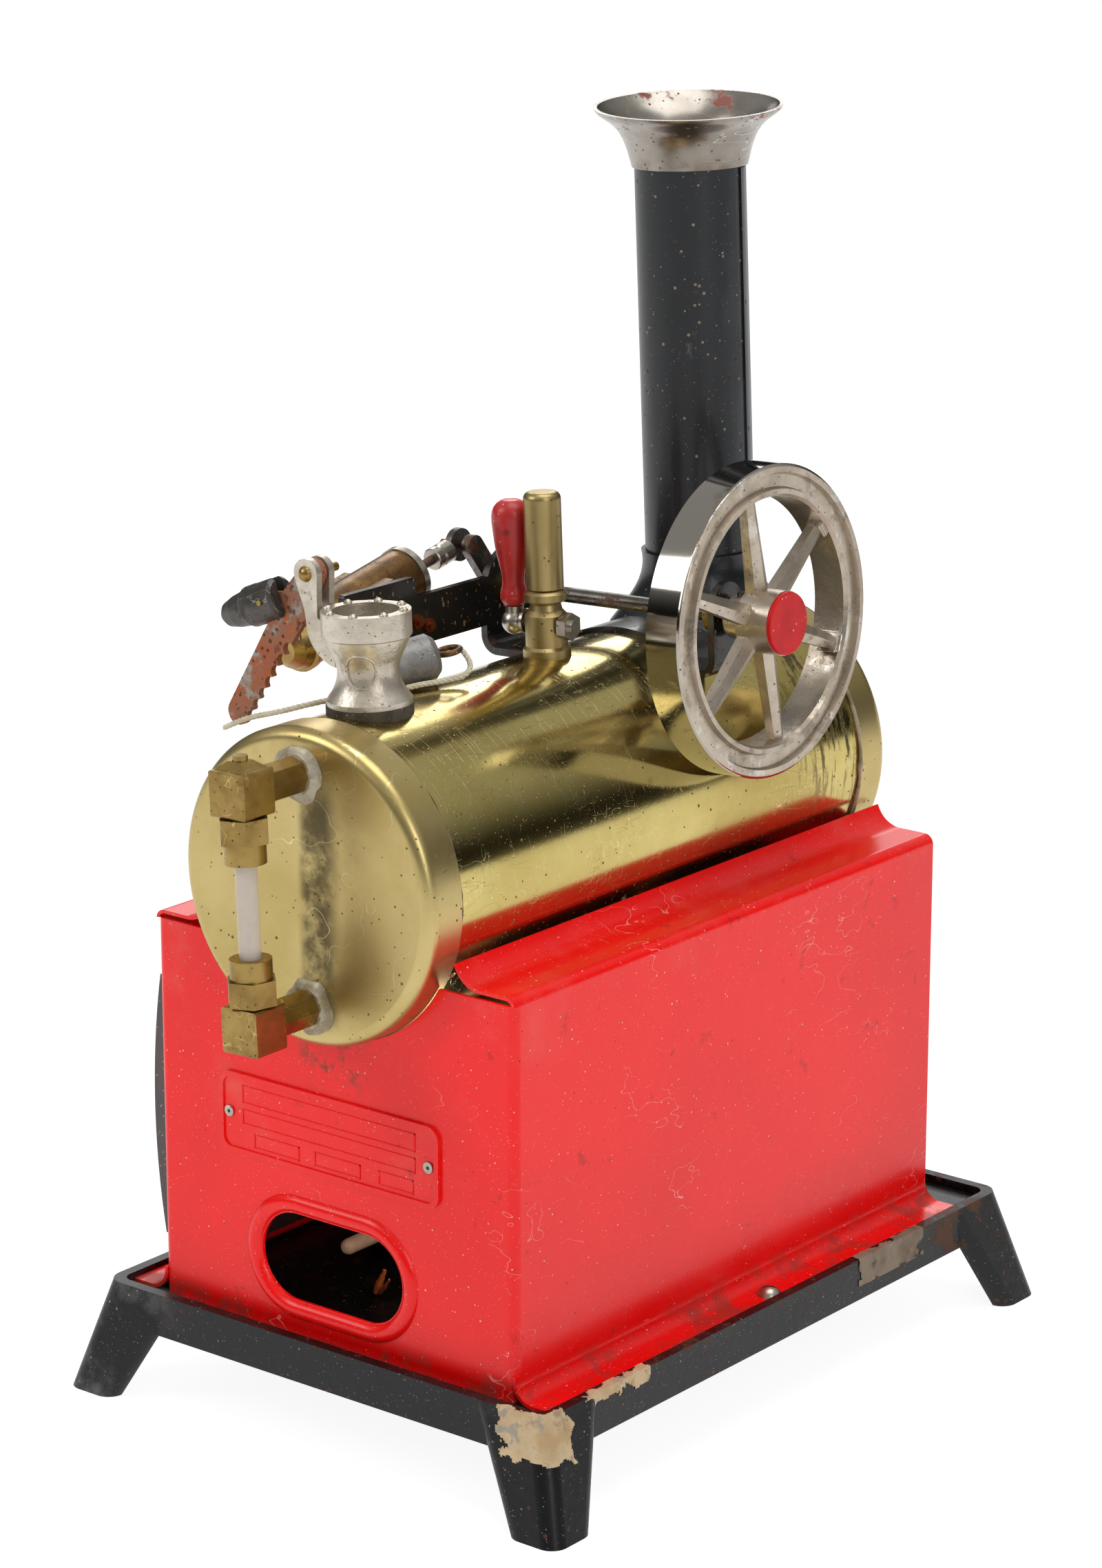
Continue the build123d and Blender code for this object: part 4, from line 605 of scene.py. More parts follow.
NODE_FINISHES: dict[str, Finish] = {
    "base_casting": CAST_BLACK, "firebox_shell": RED_ENAMEL, "firebox_back": RED_ENAMEL, "nameplate": RED_ENAMEL,
    "flange_screws": NICKEL, "nameplate_rivets": NICKEL, "heat_shield": INSIDE_SHEET, "heater_strap": INSIDE_SHEET,
    "heater_element": CERAMIC, "heater_rod": CERAMIC, "terminal_block": CERAMIC, "terminal_pins": FITTING_BRASS,
    "terminal_guard": BROWN_JAPAN, "boiler_shell": BOILER_BRASS, "boiler_front_cap": CAP_BRASS,
    "boiler_rear_cap": CAP_BRASS, "gauge_elbows": FITTING_BRASS, "gauge_nuts": FITTING_BRASS,
    "gauge_glass": GAUGE_TUBE, "gauge_seals": PACKING, "gauge_drain_plug": FITTING_BRASS, "valve_gasket": PACKING,
    "valve_body": CAST_NICKEL, "valve_pivot_rivet": FITTING_BRASS,
    "valve_lever": RUST, "valve_plug": ZINC, "valve_plug_pin": FITTING_BRASS, "valve_weight": WEIGHT_LEAD,
    "weight_ring": DARK_WIRE, "whistle_body": WHISTLE_BRASS, "whistle_bell": WHISTLE_BRASS,
    "whistle_spindle": NICKEL, "whistle_handle": RED_WOOD, "whistle_nut": NICKEL, "stack_saddle": BLACK_SHEET,
    "stack_tube": BLACK_SHEET, "stack_flare": FLARE_NICKEL, "engine_frame": FRAME_BLACK,
    "shaft_bearings": FITTING_BRASS, "crankshaft": DARK_STEEL, "crank_web": DARK_STEEL, "crank_pin": COPPER,
    "flywheel": WHEEL_NICKEL, "flywheel_cap": RED_DISC, "flywheel_set_screw": DARK_STEEL,
    "cylinder_body": CYLINDER_BRASS, "cylinder_front_cap": COVER_BRASS, "cylinder_rear_cap": NICKEL,
    "cylinder_pivot": DARK_STEEL, "cylinder_spring": DARK_STEEL, "cylinder_pivot_nut": NICKEL,
    "piston": CYLINDER_BRASS, "piston_rod": DARK_STEEL, "rod_coupling": NICKEL, "rod_eye": ZINC,
    "rod_pin_tail": COPPER, "steam_pipe": COPPER, "port_screws": COPPER,
}


class Shapes:
    """Mesh makers shared by the sub-assemblies. Sizes are in mm until a piece is placed."""

    @staticmethod
    def on_boiler() -> Matrix:
        """Placing of a drawing made upright about the boiler axis, mm to metres."""
        up = Matrix.Translation((0, 0, BOILER_Z))
        turn = Matrix.Rotation(-BOILER_ROLL, 4, "Y")
        shift = Matrix.Translation((0, CENTRE_Y, -GROUND))
        return Matrix.Scale(MM, 4) @ shift @ up @ turn @ up.inverted()

    @staticmethod
    def upright() -> Matrix:
        """Placing of a drawing that doesn't follow the boiler's roll, mm to metres."""
        return Matrix.Scale(MM, 4) @ Matrix.Translation((0, CENTRE_Y, -GROUND))

    @staticmethod
    def piece(
        name: str, mesh: bmesh.types.BMesh | bpy.types.Mesh, place: Matrix, finish: Finish, slot: str, body: str = ROOT
    ) -> bpy.types.Object:
        """Turn a mesh into a placed, dressed piece that rides on a body.

        Args:
            name: the piece's name.
            mesh: the mesh, in its own drawing's mm.
            place: drawing to frame.
            finish: the finish it gets.
            slot: a material slot name; not used.
            body: the CAD body it rides on.

        Returns:
            The object.
        """
        if isinstance(mesh, bmesh.types.BMesh):
            data = bpy.data.meshes.new(name)
            bmesh.ops.recalc_face_normals(mesh, faces=mesh.faces)
            mesh.to_mesh(data)
            mesh.free()
        else:
            data = mesh
            data.name = name
        data.transform(place)
        for polygon in data.polygons:
            polygon.use_smooth = True
        data.set_sharp_from_angle(angle=math.radians(35))
        data.materials.clear()
        data.materials.append(finish.material())
        made = bpy.data.objects.new(name, data)
        bpy.context.scene.collection.objects.link(made)
        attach(made, body)
        return made

    @staticmethod
    def lathe(profile: list[tuple[float, float]], steps: int = 96) -> bmesh.types.BMesh:
        """Revolve (radius, height) points about Z; ends on the axis are closed.

        Args:
            profile: points from one end to the other; a closed ring repeats its first point.
            steps: faces around.

        Returns:
            The mesh.
        """
        mesh = bmesh.new()
        rings = []
        for radius, height in profile:
            if radius < 1e-6:
                rings.append([mesh.verts.new((0, 0, height))])
                continue
            turn = [2 * math.pi * i / steps for i in range(steps)]
            rings.append([mesh.verts.new((radius * math.cos(a), radius * math.sin(a), height)) for a in turn])
        if profile[0] == profile[-1]:
            for vert in rings.pop():
                mesh.verts.remove(vert)
            rings.append(rings[0])
        for low, high in zip(rings, rings[1:]):
            for i in range(steps):
                j = (i + 1) % steps
                if len(low) == 1 and len(high) > 1:
                    mesh.faces.new((low[0], high[i], high[j]))
                elif len(high) == 1 and len(low) > 1:
                    mesh.faces.new((low[i], high[0], low[j]))
                elif len(low) > 1:
                    mesh.faces.new((low[i], high[i], high[j], low[j]))
        return mesh

    @staticmethod
    def tube(points: list[Vector], radii: list[float], sides: int = 12, closed: bool = False) -> bmesh.types.BMesh:
        """Skin a round tube over points.

        Args:
            points: centre line.
            radii: one radius per point.
            sides: faces around.
            closed: join the last point to the first.

        Returns:
            The mesh.
        """
        mesh = bmesh.new()
        count = len(points)
        rings = []
        normal = None
        for i, point in enumerate(points):
            before = points[(i - 1) % count] if closed or i else points[i]
            after = points[(i + 1) % count] if closed or i < count - 1 else points[i]
            along = (after - before).normalized()
            if normal is None:
                normal = along.orthogonal().normalized()
            normal = (normal - along * normal.dot(along)).normalized()
            side = along.cross(normal)
            turn = [2 * math.pi * k / sides for k in range(sides)]
            rings.append([
                mesh.verts.new(point + (normal * math.cos(a) + side * math.sin(a)) * radii[i]) for a in turn
            ])
        pairs = list(zip(rings, rings[1:] + ([rings[0]] if closed else [])))
        for low, high in pairs:
            for k in range(sides):
                mesh.faces.new((low[k], low[(k + 1) % sides], high[(k + 1) % sides], high[k]))
        if not closed:
            mesh.faces.new(list(reversed(rings[0])))
            mesh.faces.new(rings[-1])
        return mesh

    @staticmethod
    def merge(mesh: bmesh.types.BMesh, part: bmesh.types.BMesh) -> None:
        """Move all of one mesh into another.

        Args:
            mesh: the mesh that grows.
            part: the mesh that is used up.
        """
        data = bpy.data.meshes.new("part")
        part.to_mesh(data)
        part.free()
        mesh.from_mesh(data)
        bpy.data.meshes.remove(data)


class StudRing:
    """A ring of round-topped studs made by one node tree."""

    def __init__(self, count: int, radius: float, stud: float, height: float) -> None:
        """Keep the ring's sizes in mm."""
        self.sizes = {"Count": count, "Ring Radius": radius, "Stud Radius": stud, "Stud Height": height}

    @staticmethod
    def tree(finish: Finish) -> bpy.types.NodeTree:
        """Build the node tree: one domed stud on every point of a circle.

        Args:
            finish: the finish that Set Material gives.

        Returns:
            The node tree.
        """
        tree = bpy.data.node_groups.new("stud_ring", "GeometryNodeTree")
        tree.interface.new_socket("Count", in_out="INPUT", socket_type="NodeSocketInt")
        for name in ("Ring Radius", "Stud Radius", "Stud Height"):
            tree.interface.new_socket(name, in_out="INPUT", socket_type="NodeSocketFloat")
        tree.interface.new_socket("Geometry", in_out="OUTPUT", socket_type="NodeSocketGeometry")
        add = tree.nodes.new
        sizes, out = add("NodeGroupInput"), add("NodeGroupOutput")
        ring, dome = add("GeometryNodeMeshCircle"), add("GeometryNodeMeshUVSphere")
        squash = add("GeometryNodeTransform")
        scale, place = add("ShaderNodeCombineXYZ"), add("GeometryNodeInstanceOnPoints")
        real, paint = add("GeometryNodeRealizeInstances"), add("GeometryNodeSetMaterial")
        smooth = add("GeometryNodeSetShadeSmooth")
        dome.inputs["Segments"].default_value = 16
        dome.inputs["Rings"].default_value = 8
        dome.inputs["Radius"].default_value = 1.0
        paint.inputs["Material"].default_value = finish.material()
        link = tree.links.new
        link(sizes.outputs["Count"], ring.inputs["Vertices"])
        link(sizes.outputs["Ring Radius"], ring.inputs["Radius"])
        for axis in ("X", "Y"):
            link(sizes.outputs["Stud Radius"], scale.inputs[axis])
        link(sizes.outputs["Stud Height"], scale.inputs["Z"])
        link(dome.outputs["Mesh"], squash.inputs["Geometry"])
        link(scale.outputs["Vector"], squash.inputs["Scale"])
        link(ring.outputs["Mesh"], place.inputs["Points"])
        link(squash.outputs["Geometry"], place.inputs["Instance"])
        link(place.outputs["Instances"], real.inputs["Geometry"])
        link(real.outputs["Geometry"], smooth.inputs["Geometry"])
        link(smooth.outputs["Geometry"], paint.inputs["Geometry"])
        link(paint.outputs["Geometry"], out.inputs["Geometry"])
        return tree

    def mesh(self, finish: Finish) -> bpy.types.Mesh:
        """Evaluate the tree on an empty mesh and hand back the plain result.

        Args:
            finish: the studs' finish.

        Returns:
            A mesh about the origin, in mm.
        """
        holder = bpy.data.objects.new("studs", bpy.data.meshes.new("studs"))
        bpy.context.scene.collection.objects.link(holder)
        modifier = holder.modifiers.new("studs", "NODES")
        modifier.node_group = self.tree(finish)
        for item in modifier.node_group.interface.items_tree:
            if item.in_out == "INPUT":
                modifier[item.identifier] = self.sizes[item.name]
        evaluated = holder.evaluated_get(bpy.context.evaluated_depsgraph_get())
        made = bpy.data.meshes.new_from_object(evaluated)
        bpy.data.objects.remove(holder)
        return made


@dataclass
class WeightString:
    """The white cotton string from the weight's ring to the tip of the valve lever."""

    diameter: float = 1.2
    length: float = 61.6
    strands: int = 3
    pitch: float = 3.4
    route: tuple[tuple[float, float, float], ...] = (
        (-0.8, -30.2, 158.2), (1.9, -29.9, 155.9), (2.7, -32.4, 153.6), (0.6, -36.6, 153.1), (-1.6, -41.4, 153.1),
        (-3.1, -46.6, 152.8), (-6.6, -51.6, 152.4), (-11.4, -56.0, 152.0), (-16.0, -59.6, 150.9),
        (-21.6, -61.4, 149.2), (-27.4, -62.2, 147.8), (-32.0, -62.4, 146.2), (-35.8, -62.2, 144.4),
    )

    def line(self) -> list[Vector]:
        """Points of the smooth line that the route controls, in metres.

        Returns:
            Points in the frame.
        """
        curve = bpy.data.curves.new("string_line", "CURVE")
        curve.dimensions = "3D"
        curve.resolution_u = 12
        spline = curve.splines.new("NURBS")
        spline.points.add(len(self.route) - 1)
        place = Shapes.on_boiler()
        for point, where in zip(spline.points, self.route):
            point.co = (*(place @ Vector(where)), 1.0)
        spline.order_u = 3
        spline.use_endpoint_u = True
        holder = bpy.data.objects.new("string_line", curve)
        bpy.context.scene.collection.objects.link(holder)
        evaluated = holder.evaluated_get(bpy.context.evaluated_depsgraph_get())
        mesh = bpy.data.meshes.new_from_object(evaluated)
        points = [v.co.copy() for v in mesh.vertices]
        bpy.data.objects.remove(holder)
        return points

    def build(self) -> bpy.types.Object:
        """Returns:
            The string.
        """
        line = self.line()
        strand = self.diameter * MM * 0.3
        offset = self.diameter * MM / 2 - strand
        mesh = bmesh.new()
        for index in range(self.strands):
            helix, travelled, normal = [], 0.0, None
            for i, point in enumerate(line):
                along = (line[min(i + 1, len(line) - 1)] - line[max(i - 1, 0)]).normalized()
                normal = along.orthogonal().normalized() if normal is None else normal
                normal = (normal - along * normal.dot(along)).normalized()
                side = along.cross(normal)
                travelled += (point - line[i - 1]).length if i else 0.0
                turn = 2 * math.pi * (travelled / (self.pitch * MM) + index / self.strands)
                helix.append(point + (normal * math.cos(turn) + side * math.sin(turn)) * offset)
            Shapes.merge(mesh, Shapes.tube(helix, [strand] * len(helix), 8))
        made = Shapes.piece("weight_string_strands", mesh, Matrix.Identity(4), COTTON, "cotton_string")
        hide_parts("weight_string")
        return made


@dataclass
class SafetyValve:
    """Small details of the valve: the studs on the cup's rim and the ring mark cast in the waist."""

    y: float = -58.9
    rim_top: float = 171.6
    stud_ring: float = 7.75
    stud: float = 0.95
    mark_height: float = 160.6
    mark_radius: float = 2.9

    def build(self) -> None:
        """Make both pieces."""
        centre = Matrix.Translation((0, self.y, self.rim_top - 0.15))
        turn = Matrix.Rotation(math.radians(22.5), 4, "Z")
        studs = StudRing(8, self.stud_ring, self.stud, 0.85).mesh(CAST_NICKEL)
        made = Shapes.piece("valve_rim_studs", studs, Shapes.on_boiler() @ centre @ turn, CAST_NICKEL, "nickel_plate")
        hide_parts("valve_rim_bolts")
        steps = 40
        facing = math.radians(-62)
        points = []
        for i in range(steps):
            a = 2 * math.pi * i / steps
            round_waist = facing + self.mark_radius * math.cos(a) / 6.2
            up = self.mark_height + self.mark_radius * 1.15 * math.sin(a)
            reach = 6.12 + (up - 160.1) ** 2 * (0.095 if up > 160.1 else 0.055)
            points.append(Vector((reach * math.cos(round_waist), self.y + reach * math.sin(round_waist), up)))
        ring = Shapes.tube(points, [0.28] * steps, 8, True)
        Shapes.piece("valve_cast_ring", ring, Shapes.on_boiler(), CAST_NICKEL, "nickel_plate")


@dataclass
class BoilerSeams:
    """Solder and seam lines where the caps and the gauge fittings meet the boiler."""

    front_skirt: float = -70.9
    rear_skirt: float = 60.7
    front: float = -80.4
    gauge_heights: tuple[float, float] = (143.6, 97.2)
    barrel: float = 4.1

    def ring(self, name: str, y: float, radius: float, wire: float, finish: Finish, waver: float) -> None:
        """One hoop around the boiler.

        Args:
            name: the piece's name.
            y: its place along the boiler.
            radius: the hoop's radius.
            wire: thickness of its section.
            finish: its finish.
            waver: how unevenly thick it is.
        """
        steps = 220
        turn = [2 * math.pi * i / steps for i in range(steps)]
        points = [Vector((radius * math.cos(a), y, BOILER_Z + radius * math.sin(a))) for a in turn]
        radii = [wire * (1 + waver * noise.noise(p * 0.35)) for p in points]
        Shapes.piece(name, Shapes.tube(points, radii, 8, True), Shapes.on_boiler(), finish, "brass_polished")

    def bead(self, name: str, height: float) -> None:
        """Lumpy solder fillet around one gauge barrel, with a skirt spread on the cap.

        Args:
            name: the piece's name.
            height: height of the barrel's axis.
        """
        r = self.barrel
        profile = [(r - 0.8, 0.05), (r + 1.7, 0.05), (r + 1.4, 0.2), (r + 0.7, 0.6), (r + 0.15, 1.4), (r - 0.8, 1.5)]
        mesh = Shapes.lathe(profile + profile[:1], 72)
        for vert in mesh.verts:
            reach = math.hypot(vert.co.x, vert.co.y)
            if reach > r:
                stretch = 1 + 0.09 * noise.noise(Vector((vert.co.x, vert.co.y, height)) * 0.3) * (reach - r)
                vert.co.x *= stretch
                vert.co.y *= stretch
                vert.co.z *= 1 + 0.35 * noise.noise(Vector((vert.co.y, height, vert.co.x)) * 0.7)
        lay = Matrix.Translation((0, self.front, height)) @ Matrix.Rotation(math.radians(90), 4, "X")
        Shapes.piece(name, mesh, Shapes.on_boiler() @ lay, SOLDER, "brass_dull")

    def build(self) -> None:
        """Make the hoops and the beads."""
        self.ring("front_seam", self.front_skirt, 31.45, 0.3, SEAM_DARK, 0.5)
        self.ring("rear_seam", self.rear_skirt, 31.55, 0.42, SOLDER, 0.6)
        for name, height in zip(("upper_gauge_solder", "lower_gauge_solder"), self.gauge_heights):
            self.bead(name, height)


@dataclass
class NameplateRules:
    """Blank ruled fields raised on the nameplate."""

    left: float = -29.4
    low: float = 59.3
    face: float = -73.55
    line: float = 0.28
    relief: float = 0.4
    rounding: float = 0.08
    fields: tuple[tuple[float, float, float, float], ...] = (
        (6.0, 51.1, 10.8, 14.6), (6.0, 51.1, 6.4, 9.6),
        (9.0, 21.0, 1.9, 4.9), (25.0, 37.0, 1.9, 4.9), (41.6, 50.6, 1.9, 4.9),
    )

    def bars(self) -> list[tuple[float, float, float, float]]:
        """The four edges of every field.

        Returns:
            Start and end of each edge in x and in z.
        """
        w = self.line
        edges = []
        for x0, x1, z0, z1 in self.fields:
            x0, x1, z0, z1 = x0 + self.left, x1 + self.left, z0 + self.low, z1 + self.low
            edges += [(x0, x1, z0, z0 + w), (x0, x1, z1 - w, z1), (x0, x0 + w, z0, z1), (x1 - w, x1, z0, z1)]
        return edges

    def build(self) -> None:
        """Make the rules as one piece."""
        mesh = bmesh.new()
        for x0, x1, z0, z1 in self.bars():
            middle = Vector(((x0 + x1) / 2, self.face, (z0 + z1) / 2))
            for vert in bmesh.ops.create_cube(mesh, size=1.0)["verts"]:
                vert.co = Vector((vert.co.x * (x1 - x0), vert.co.y * self.relief, vert.co.z * (z1 - z0))) + middle
        bmesh.ops.bevel(mesh, geom=mesh.edges[:], offset=self.rounding, segments=2, affect="EDGES")
        Shapes.piece("nameplate_rules", mesh, Shapes.upright(), RED_ENAMEL, "red_enamel")


@dataclass
class PaperScraps:
    """Torn gummed paper left on the base: around the near corner and along the right rim."""

    rim_x: float = 57.6
    rim_y: float = 78.9
    rim_top: float = 25.8
    wall: float = 2.3
    corner_radius: float = 4.0
    spread: tuple[float, float] = (0.298, 0.223)
    cell: float = 0.35

    def point(self, along: float, down: float, lift: float, spread: tuple[float, float]) -> Vector:
        """A place on the outside of the base.

        Args:
            along: distance around it from the start of the near corner's bend, negative on the front.
            down: distance over the section, from the rim's inner top edge outwards and down.
            lift: height above the surface.
            spread: how far the corner moves out in x and in -y per unit of depth.

        Returns:
            The point.
        """
        radius = self.corner_radius
        bend = radius * math.pi / 2
        depth = max(down - self.wall, 0.0)
        out = lift if depth else down - self.wall
        up = self.rim_top - depth + (0.0 if depth else lift)
        turn = min(max(along / radius, 0.0), math.pi / 2)
        centre = Vector((
            self.rim_x - radius + spread[0] * depth + min(along, 0.0),
            -self.rim_y + radius - spread[1] * depth + max(along - bend, 0.0),
            up,
        ))
        return centre + Vector((math.sin(turn), -math.cos(turn), 0)) * (radius + out)

    def scrap(
        self, name: str, along: tuple[float, float], down: tuple[float, float], finish: Finish, seed: float,
        spread: tuple[float, float] = (0.0, 0.0), hunger: float = 1.15,
    ) -> None:
        """A torn sheet folded over the rim.

        Args:
            name: the piece's name.
            along: start and end around the base.
            down: start and end over the section.
            finish: its finish.
            seed: shift of the noise that tears and wrinkles it.
            spread: how far the surface below it moves out in x and in -y per unit of depth.
            hunger: how much of it is torn away.
        """
        mesh = bmesh.new()
        columns = int((along[1] - along[0]) / self.cell)
        rows = int((down[1] - down[0]) / self.cell)
        grid = []
        for i in range(columns + 1):
            line = []
            for j in range(rows + 1):
                u, v = along[0] + i * self.cell, down[0] + j * self.cell
                lift = 0.14 + 0.2 * abs(noise.noise(Vector((u * 0.5, v * 0.5, seed))))
                line.append(mesh.verts.new(self.point(u, v, lift, spread)))
            grid.append(line)
        for i in range(columns):
            for j in range(rows):
                edge = min(i, columns - 1 - i, 1.4 * j + 2, 1.4 * (rows - 1 - j)) * self.cell
                torn = noise.noise(Vector((i * self.cell * 0.3, j * self.cell * 0.3, seed + 9)))
                fine = noise.noise(Vector((i * self.cell * 1.3, j * self.cell * 1.3, seed + 4)))
                if edge + 3.6 * torn + 0.8 * fine > hunger:
                    mesh.faces.new((grid[i][j], grid[i + 1][j], grid[i + 1][j + 1], grid[i][j + 1]))
        loose = [v for v in mesh.verts if not v.link_faces]
        bmesh.ops.delete(mesh, geom=loose, context="VERTS")
        bmesh.ops.recalc_face_normals(mesh, faces=mesh.faces)
        bmesh.ops.solidify(mesh, geom=mesh.faces[:], thickness=0.1)
        Shapes.piece(name, mesh, Shapes.upright(), finish, "black_enamel_iron")

    def build(self) -> None:
        """Make every scrap."""
        self.scrap("corner_paper", (-9.5, 11.5), (0.2, 13.0), PAPER, 3.1, self.spread, 2.1)
        self.scrap("side_paper", (13.0, 36.0), (0.2, 5.5), PAPER, 12.8, hunger=1.35)
        self.scrap("rear_side_stain", (107.0, 131.0), (0.2, 8.5), GUM_STAIN, 21.2, hunger=0.5)


@dataclass
class ChimneySeam:
    """The lapped upright seam of the chimney tube."""

    y: float = 48.2
    radius: float = 11.55
    bottom: float = 157.0
    top: float = 245.0
    edge_angle: float = 8.0
    width: float = 16.0

    def build(self) -> None:
        """Make the lap as a thin curved strip that fades into the tube."""
        mesh = bmesh.new()
        across, up = 10, 60
        rows = []
        for j in range(up + 1):
            z = self.bottom + (self.top - self.bottom) * j / up
            row = []
            for i in range(across + 1):
                part = i / across
                angle = math.radians(self.edge_angle + self.width * part)
                reach = self.radius + 0.4 * (1 - part) ** 0.5 - 0.02
                row.append(mesh.verts.new((reach * math.cos(angle), self.y + reach * math.sin(angle), z)))
            inner = math.radians(self.edge_angle)
            low = self.radius - 0.1
            row.insert(0, mesh.verts.new((low * math.cos(inner), self.y + low * math.sin(inner), z)))
            rows.append(row)
        for low_row, high_row in zip(rows, rows[1:]):
            for i in range(len(low_row) - 1):
                mesh.faces.new((low_row[i], low_row[i + 1], high_row[i + 1], high_row[i]))
        Shapes.piece("chimney_lap_seam", mesh, Shapes.on_boiler(), BLACK_SHEET, "black_enamel_sheet")


@dataclass
class CylinderScrew:
    """The slotted screw in the front cover of the cylinder."""

    pivot: tuple[float, float, float] = (-36.0, -23.4, 161.0)
    tilt: float = 11.7636
    place: tuple[float, float, float] = (2.6, -3.2, -20.4)
    head: float = 1.55

    def build(self) -> None:
        """Make the domed head, its slot and its washer."""
        r = self.head
        profile = [(0, -1.5), (0.55 * r, -1.42), (0.86 * r, -1.1), (r, -0.6), (r, 0.2), (0, 0.2)]
        mesh = Shapes.lathe(profile, 32)
        washer = [(0, 0.1), (r + 0.55, 0.1), (r + 0.65, 0.3), (r + 0.55, 0.7), (0, 0.7)]
        Shapes.merge(mesh, Shapes.lathe(washer, 32))
        for vert in mesh.verts:
            if abs(vert.co.y) < 0.24 and vert.co.z < -1.0:
                vert.co.z += 0.45
        lean = Matrix.Rotation(math.radians(self.tilt - 90), 4, "X")
        lay = Matrix.Translation(self.pivot) @ lean @ Matrix.Translation(self.place)
        lay = lay @ Matrix.Rotation(math.radians(22), 4, "X")
        Shapes.piece("cylinder_cover_screw", mesh, Shapes.on_boiler() @ lay, NICKEL, "nickel_plate", "cylinder")


@dataclass
class Splinter:
    """A chip of wood lying inside the firebox, seen through the stoke hole."""

    start: tuple[float, float, float] = (-11.0, -48.1, 24.6)
    end: tuple[float, float, float] = (-8.5, -48.0, 30.2)

    def build(self) -> None:
        """Make two thin split slivers."""
        mesh = bmesh.new()
        for shift, size in ((0.0, 0.9), (0.9, 0.55)):
            a = Vector(self.start) + Vector((shift, 0.4 * shift, 0))
            b = Vector(self.end) + Vector((shift * 2.2, -shift, -1.5 * shift))
            points = [a.lerp(b, t / 8) + Vector((0.12 * math.sin(3 * t), 0, 0)) for t in range(9)]
            radii = [size * (0.9 - 0.75 * abs(t / 8 - 0.35)) for t in range(9)]
            Shapes.merge(mesh, Shapes.tube(points, radii, 6))
        Shapes.piece("wood_splinter", mesh, Shapes.upright(), SPLINTER_WOOD, "ceramic")


@dataclass
class SpokeEnds:
    """Square casting blocks where some of the spokes meet the rim."""

    shaft: tuple[float, float, float] = (0.0, 19.1, 158.7)
    rim_inner: float = 25.3
    middle: float = 37.5
    phase: float = -9.0
    spacing: float = 60.0
    spokes: tuple[int, ...] = (1, 2)
    size: tuple[float, float, float] = (3.6, 3.8, 1.8)
    sink: float = 0.6

    def build(self) -> None:
        """Make the blocks as one piece on the wheel."""
        mesh = bmesh.new()
        for index in self.spokes:
            block = bmesh.ops.create_cube(mesh, size=1.0)["verts"]
            turn = Matrix.Rotation(math.radians(-self.phase - self.spacing * index), 4, "X")
            for vert in block:
                local = vert.co * Vector(self.size)
                vert.co = turn @ (local + Vector((self.middle, 0, self.rim_inner - self.sink))) + Vector(self.shaft)
        bmesh.ops.bevel(mesh, geom=mesh.edges[:], offset=0.35, segments=3, affect="EDGES")
        Shapes.piece("spoke_end_blocks", mesh, Shapes.on_boiler(), WHEEL_NICKEL, "cast_nickel", "crank")


@dataclass(frozen=True)
class Lamp:
    """A soft rectangular lamp aimed at the middle of the engine, in metres and watts."""

    name: str
    place: tuple[float, float, float]
    size: tuple[float, float]
    power: float

    def build(self, aim: Vector) -> None:
        """Add the lamp.

        Args:
            aim: the point it shines at.
        """
        data = bpy.data.lights.new(self.name, "AREA")
        data.shape = "RECTANGLE"
        data.size, data.size_y = self.size
        data.energy = self.power
        Studio.aimed(self.name, data, Vector(self.place), aim)


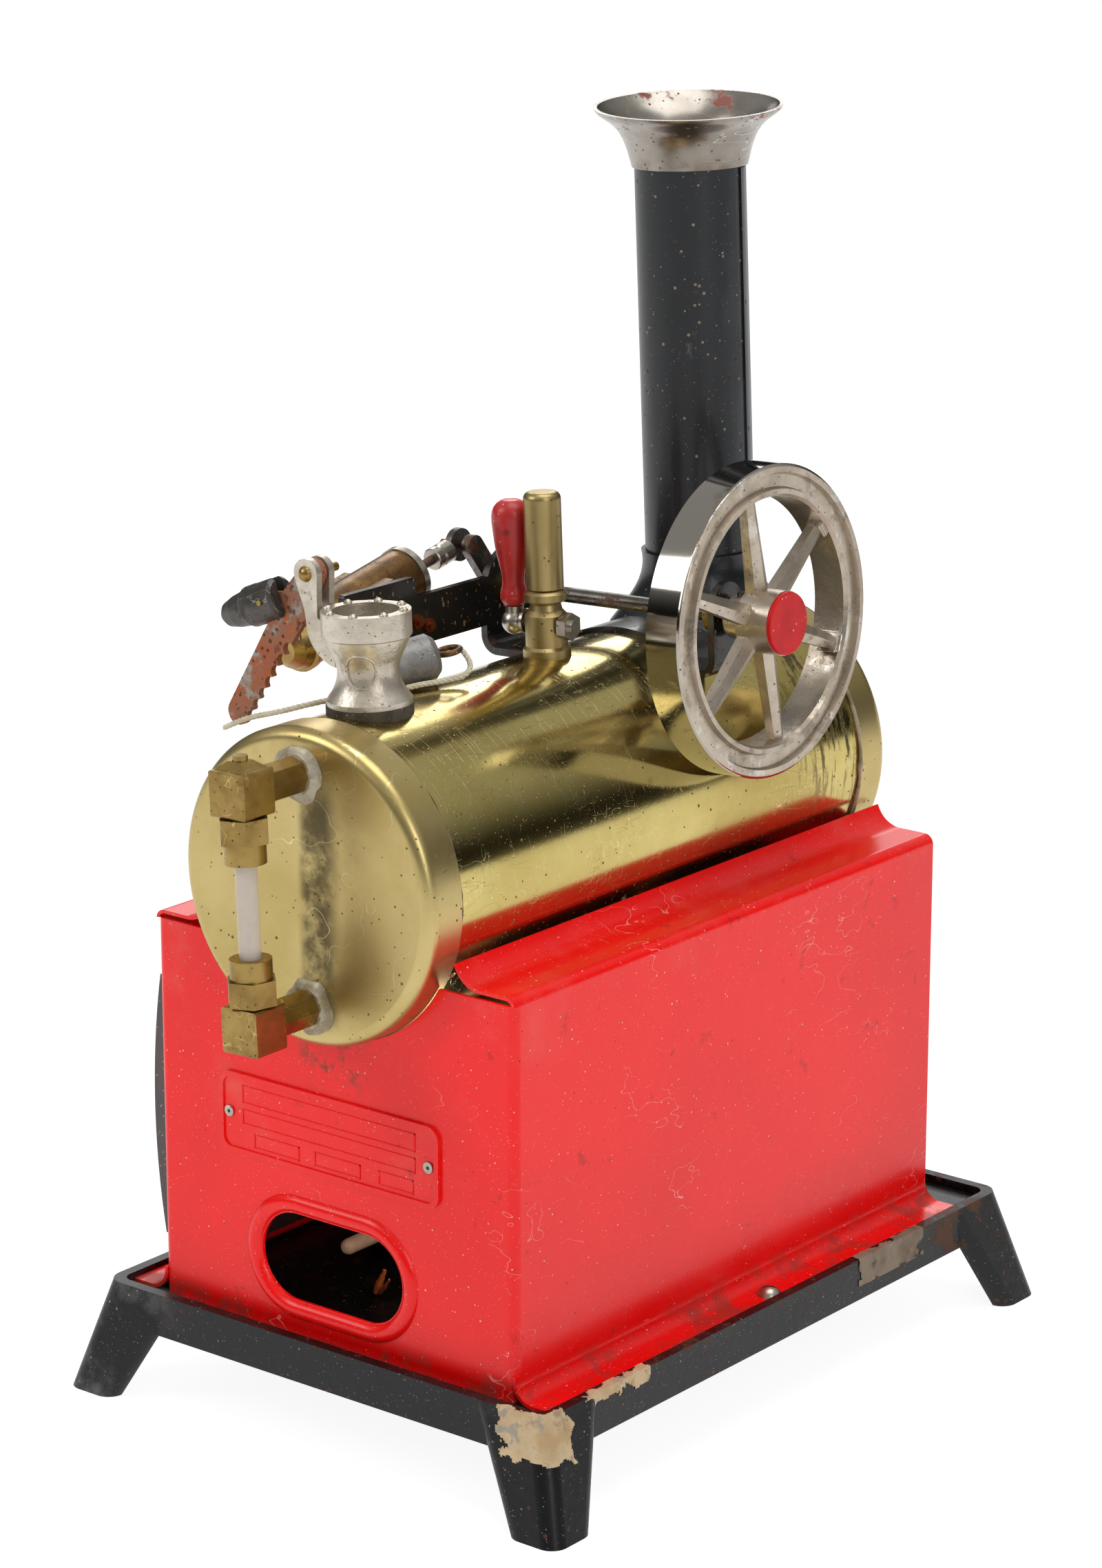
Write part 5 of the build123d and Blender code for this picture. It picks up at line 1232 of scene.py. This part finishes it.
@dataclass
class Studio:
    """Floor, lights and camera."""

    camera_place: tuple[float, float, float] = (0.55805, -0.69351, 0.37569)
    camera_target: tuple[float, float, float] = (-0.0036, 0.0083, 0.12133)
    sensor_height: float = 36.0
    lens: float = 104.4
    far_clip: float = 20.0
    floor_radius: float = 9.0
    floor_glow: float = 0.92
    stoke_place: tuple[float, float, float] = (0.030, -0.045, 0.068)
    stoke_power: float = 0.035
    horizon: tuple[float, float] = (0.12, 0.62)
    surroundings: float = 0.5
    lamps: tuple[Lamp, ...] = (
        Lamp("key", (-0.75, -0.95, 0.95), (0.5, 0.6), 5.5),
        Lamp("fill", (1.25, -0.55, 0.8), (0.45, 0.9), 4.5),
        Lamp("top", (0.15, 0.1, 1.4), (0.9, 0.9), 7.5),
        Lamp("rim", (-0.9, 1.1, 0.9), (0.7, 0.7), 5.0),
    )

    @staticmethod
    def aimed(name: str, data: bpy.types.ID, place: Vector, aim: Vector) -> bpy.types.Object:
        """Add a camera or lamp that looks at a point.

        Args:
            name: the object's name.
            data: the camera or light.
            place: where it stands.
            aim: the point it looks at.

        Returns:
            The object.
        """
        made = bpy.data.objects.new(name, data)
        made.matrix_world = Matrix.Translation(place) @ (aim - place).to_track_quat("-Z", "Y").to_matrix().to_4x4()
        bpy.context.scene.collection.objects.link(made)
        return made

    def camera(self) -> None:
        """Long-lens camera, level with the upper part of the boiler and to its right."""
        data = bpy.data.cameras.new("view")
        data.sensor_fit = "VERTICAL"
        data.sensor_height = self.sensor_height
        data.lens = self.lens
        data.clip_end = self.far_clip
        view = self.aimed("view", data, Vector(self.camera_place), Vector(self.camera_target))
        bpy.context.scene.camera = view

    def floor(self) -> None:
        """Wide pale floor."""
        mesh = bmesh.new()
        bmesh.ops.create_circle(mesh, cap_ends=True, segments=48, radius=self.floor_radius)
        data = bpy.data.meshes.new("floor")
        mesh.to_mesh(data)
        mesh.free()
        material = bpy.data.materials.new("pale_floor")
        material.use_nodes = True
        shader = material.node_tree.nodes["Principled BSDF"]
        shader.inputs["Base Color"].default_value = srgb("747473")
        shader.inputs["Roughness"].default_value = 0.95
        shader.inputs["Emission Color"].default_value = srgb("ffffff")
        shader.inputs["Emission Strength"].default_value = self.floor_glow
        data.materials.append(material)
        floor = bpy.data.objects.new("floor", data)
        bpy.context.scene.collection.objects.link(floor)

    def stoke_light(self) -> None:
        """Faint lamp inside the firebox, for the light that reaches in through its openings."""
        data = bpy.data.lights.new("stoke", "POINT")
        data.energy = self.stoke_power
        data.shadow_soft_size = 0.01
        lamp = bpy.data.objects.new("stoke", data)
        lamp.location = self.stoke_place
        bpy.context.scene.collection.objects.link(lamp)

    def world(self) -> None:
        """Pale surroundings, a little darker near the horizon."""
        world = bpy.data.worlds.new("studio")
        world.use_nodes = True
        nodes = NodeTree(world.node_tree)
        where = nodes.node("ShaderNodeTexCoord", {}, "Generated")
        up = nodes.node("ShaderNodeSeparateXYZ", {"Vector": where}, "Z")
        colour = nodes.mix(up.ramp(*self.horizon), srgb("2b2926"), srgb("f4f4f2"))
        background = world.node_tree.nodes["Background"]
        world.node_tree.links.new(colour.out, background.inputs["Color"])
        background.inputs["Strength"].default_value = self.surroundings
        bpy.context.scene.world = world

    def build(self) -> None:
        """Set up everything around the engine."""
        self.camera()
        self.floor()
        self.world()
        self.stoke_light()
        for lamp in self.lamps:
            lamp.build(Vector((0, 0, 0.13)))
        bpy.context.scene.view_settings.view_transform = "Standard"


def dress_nodes() -> None:
    """Give every carried-over CAD node its finish."""
    for name, finish in NODE_FINISHES.items():
        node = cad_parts[name]
        if not node.material_slots:
            node.data.materials.append(finish.material())
        for slot in node.material_slots:
            slot.material = finish.material()


def main() -> None:
    """Build every piece in order."""
    logging.basicConfig(level=logging.INFO)
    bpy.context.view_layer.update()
    Studio().build()
    dress_nodes()
    makers = (
        WeightString(), SafetyValve(), BoilerSeams(), NameplateRules(), PaperScraps(), ChimneySeam(),
        CylinderScrew(), Splinter(), SpokeEnds(),
    )
    for maker in makers:
        maker.build()
        LOG.info("%s built", type(maker).__name__)


if __name__ == "__main__":
    main()
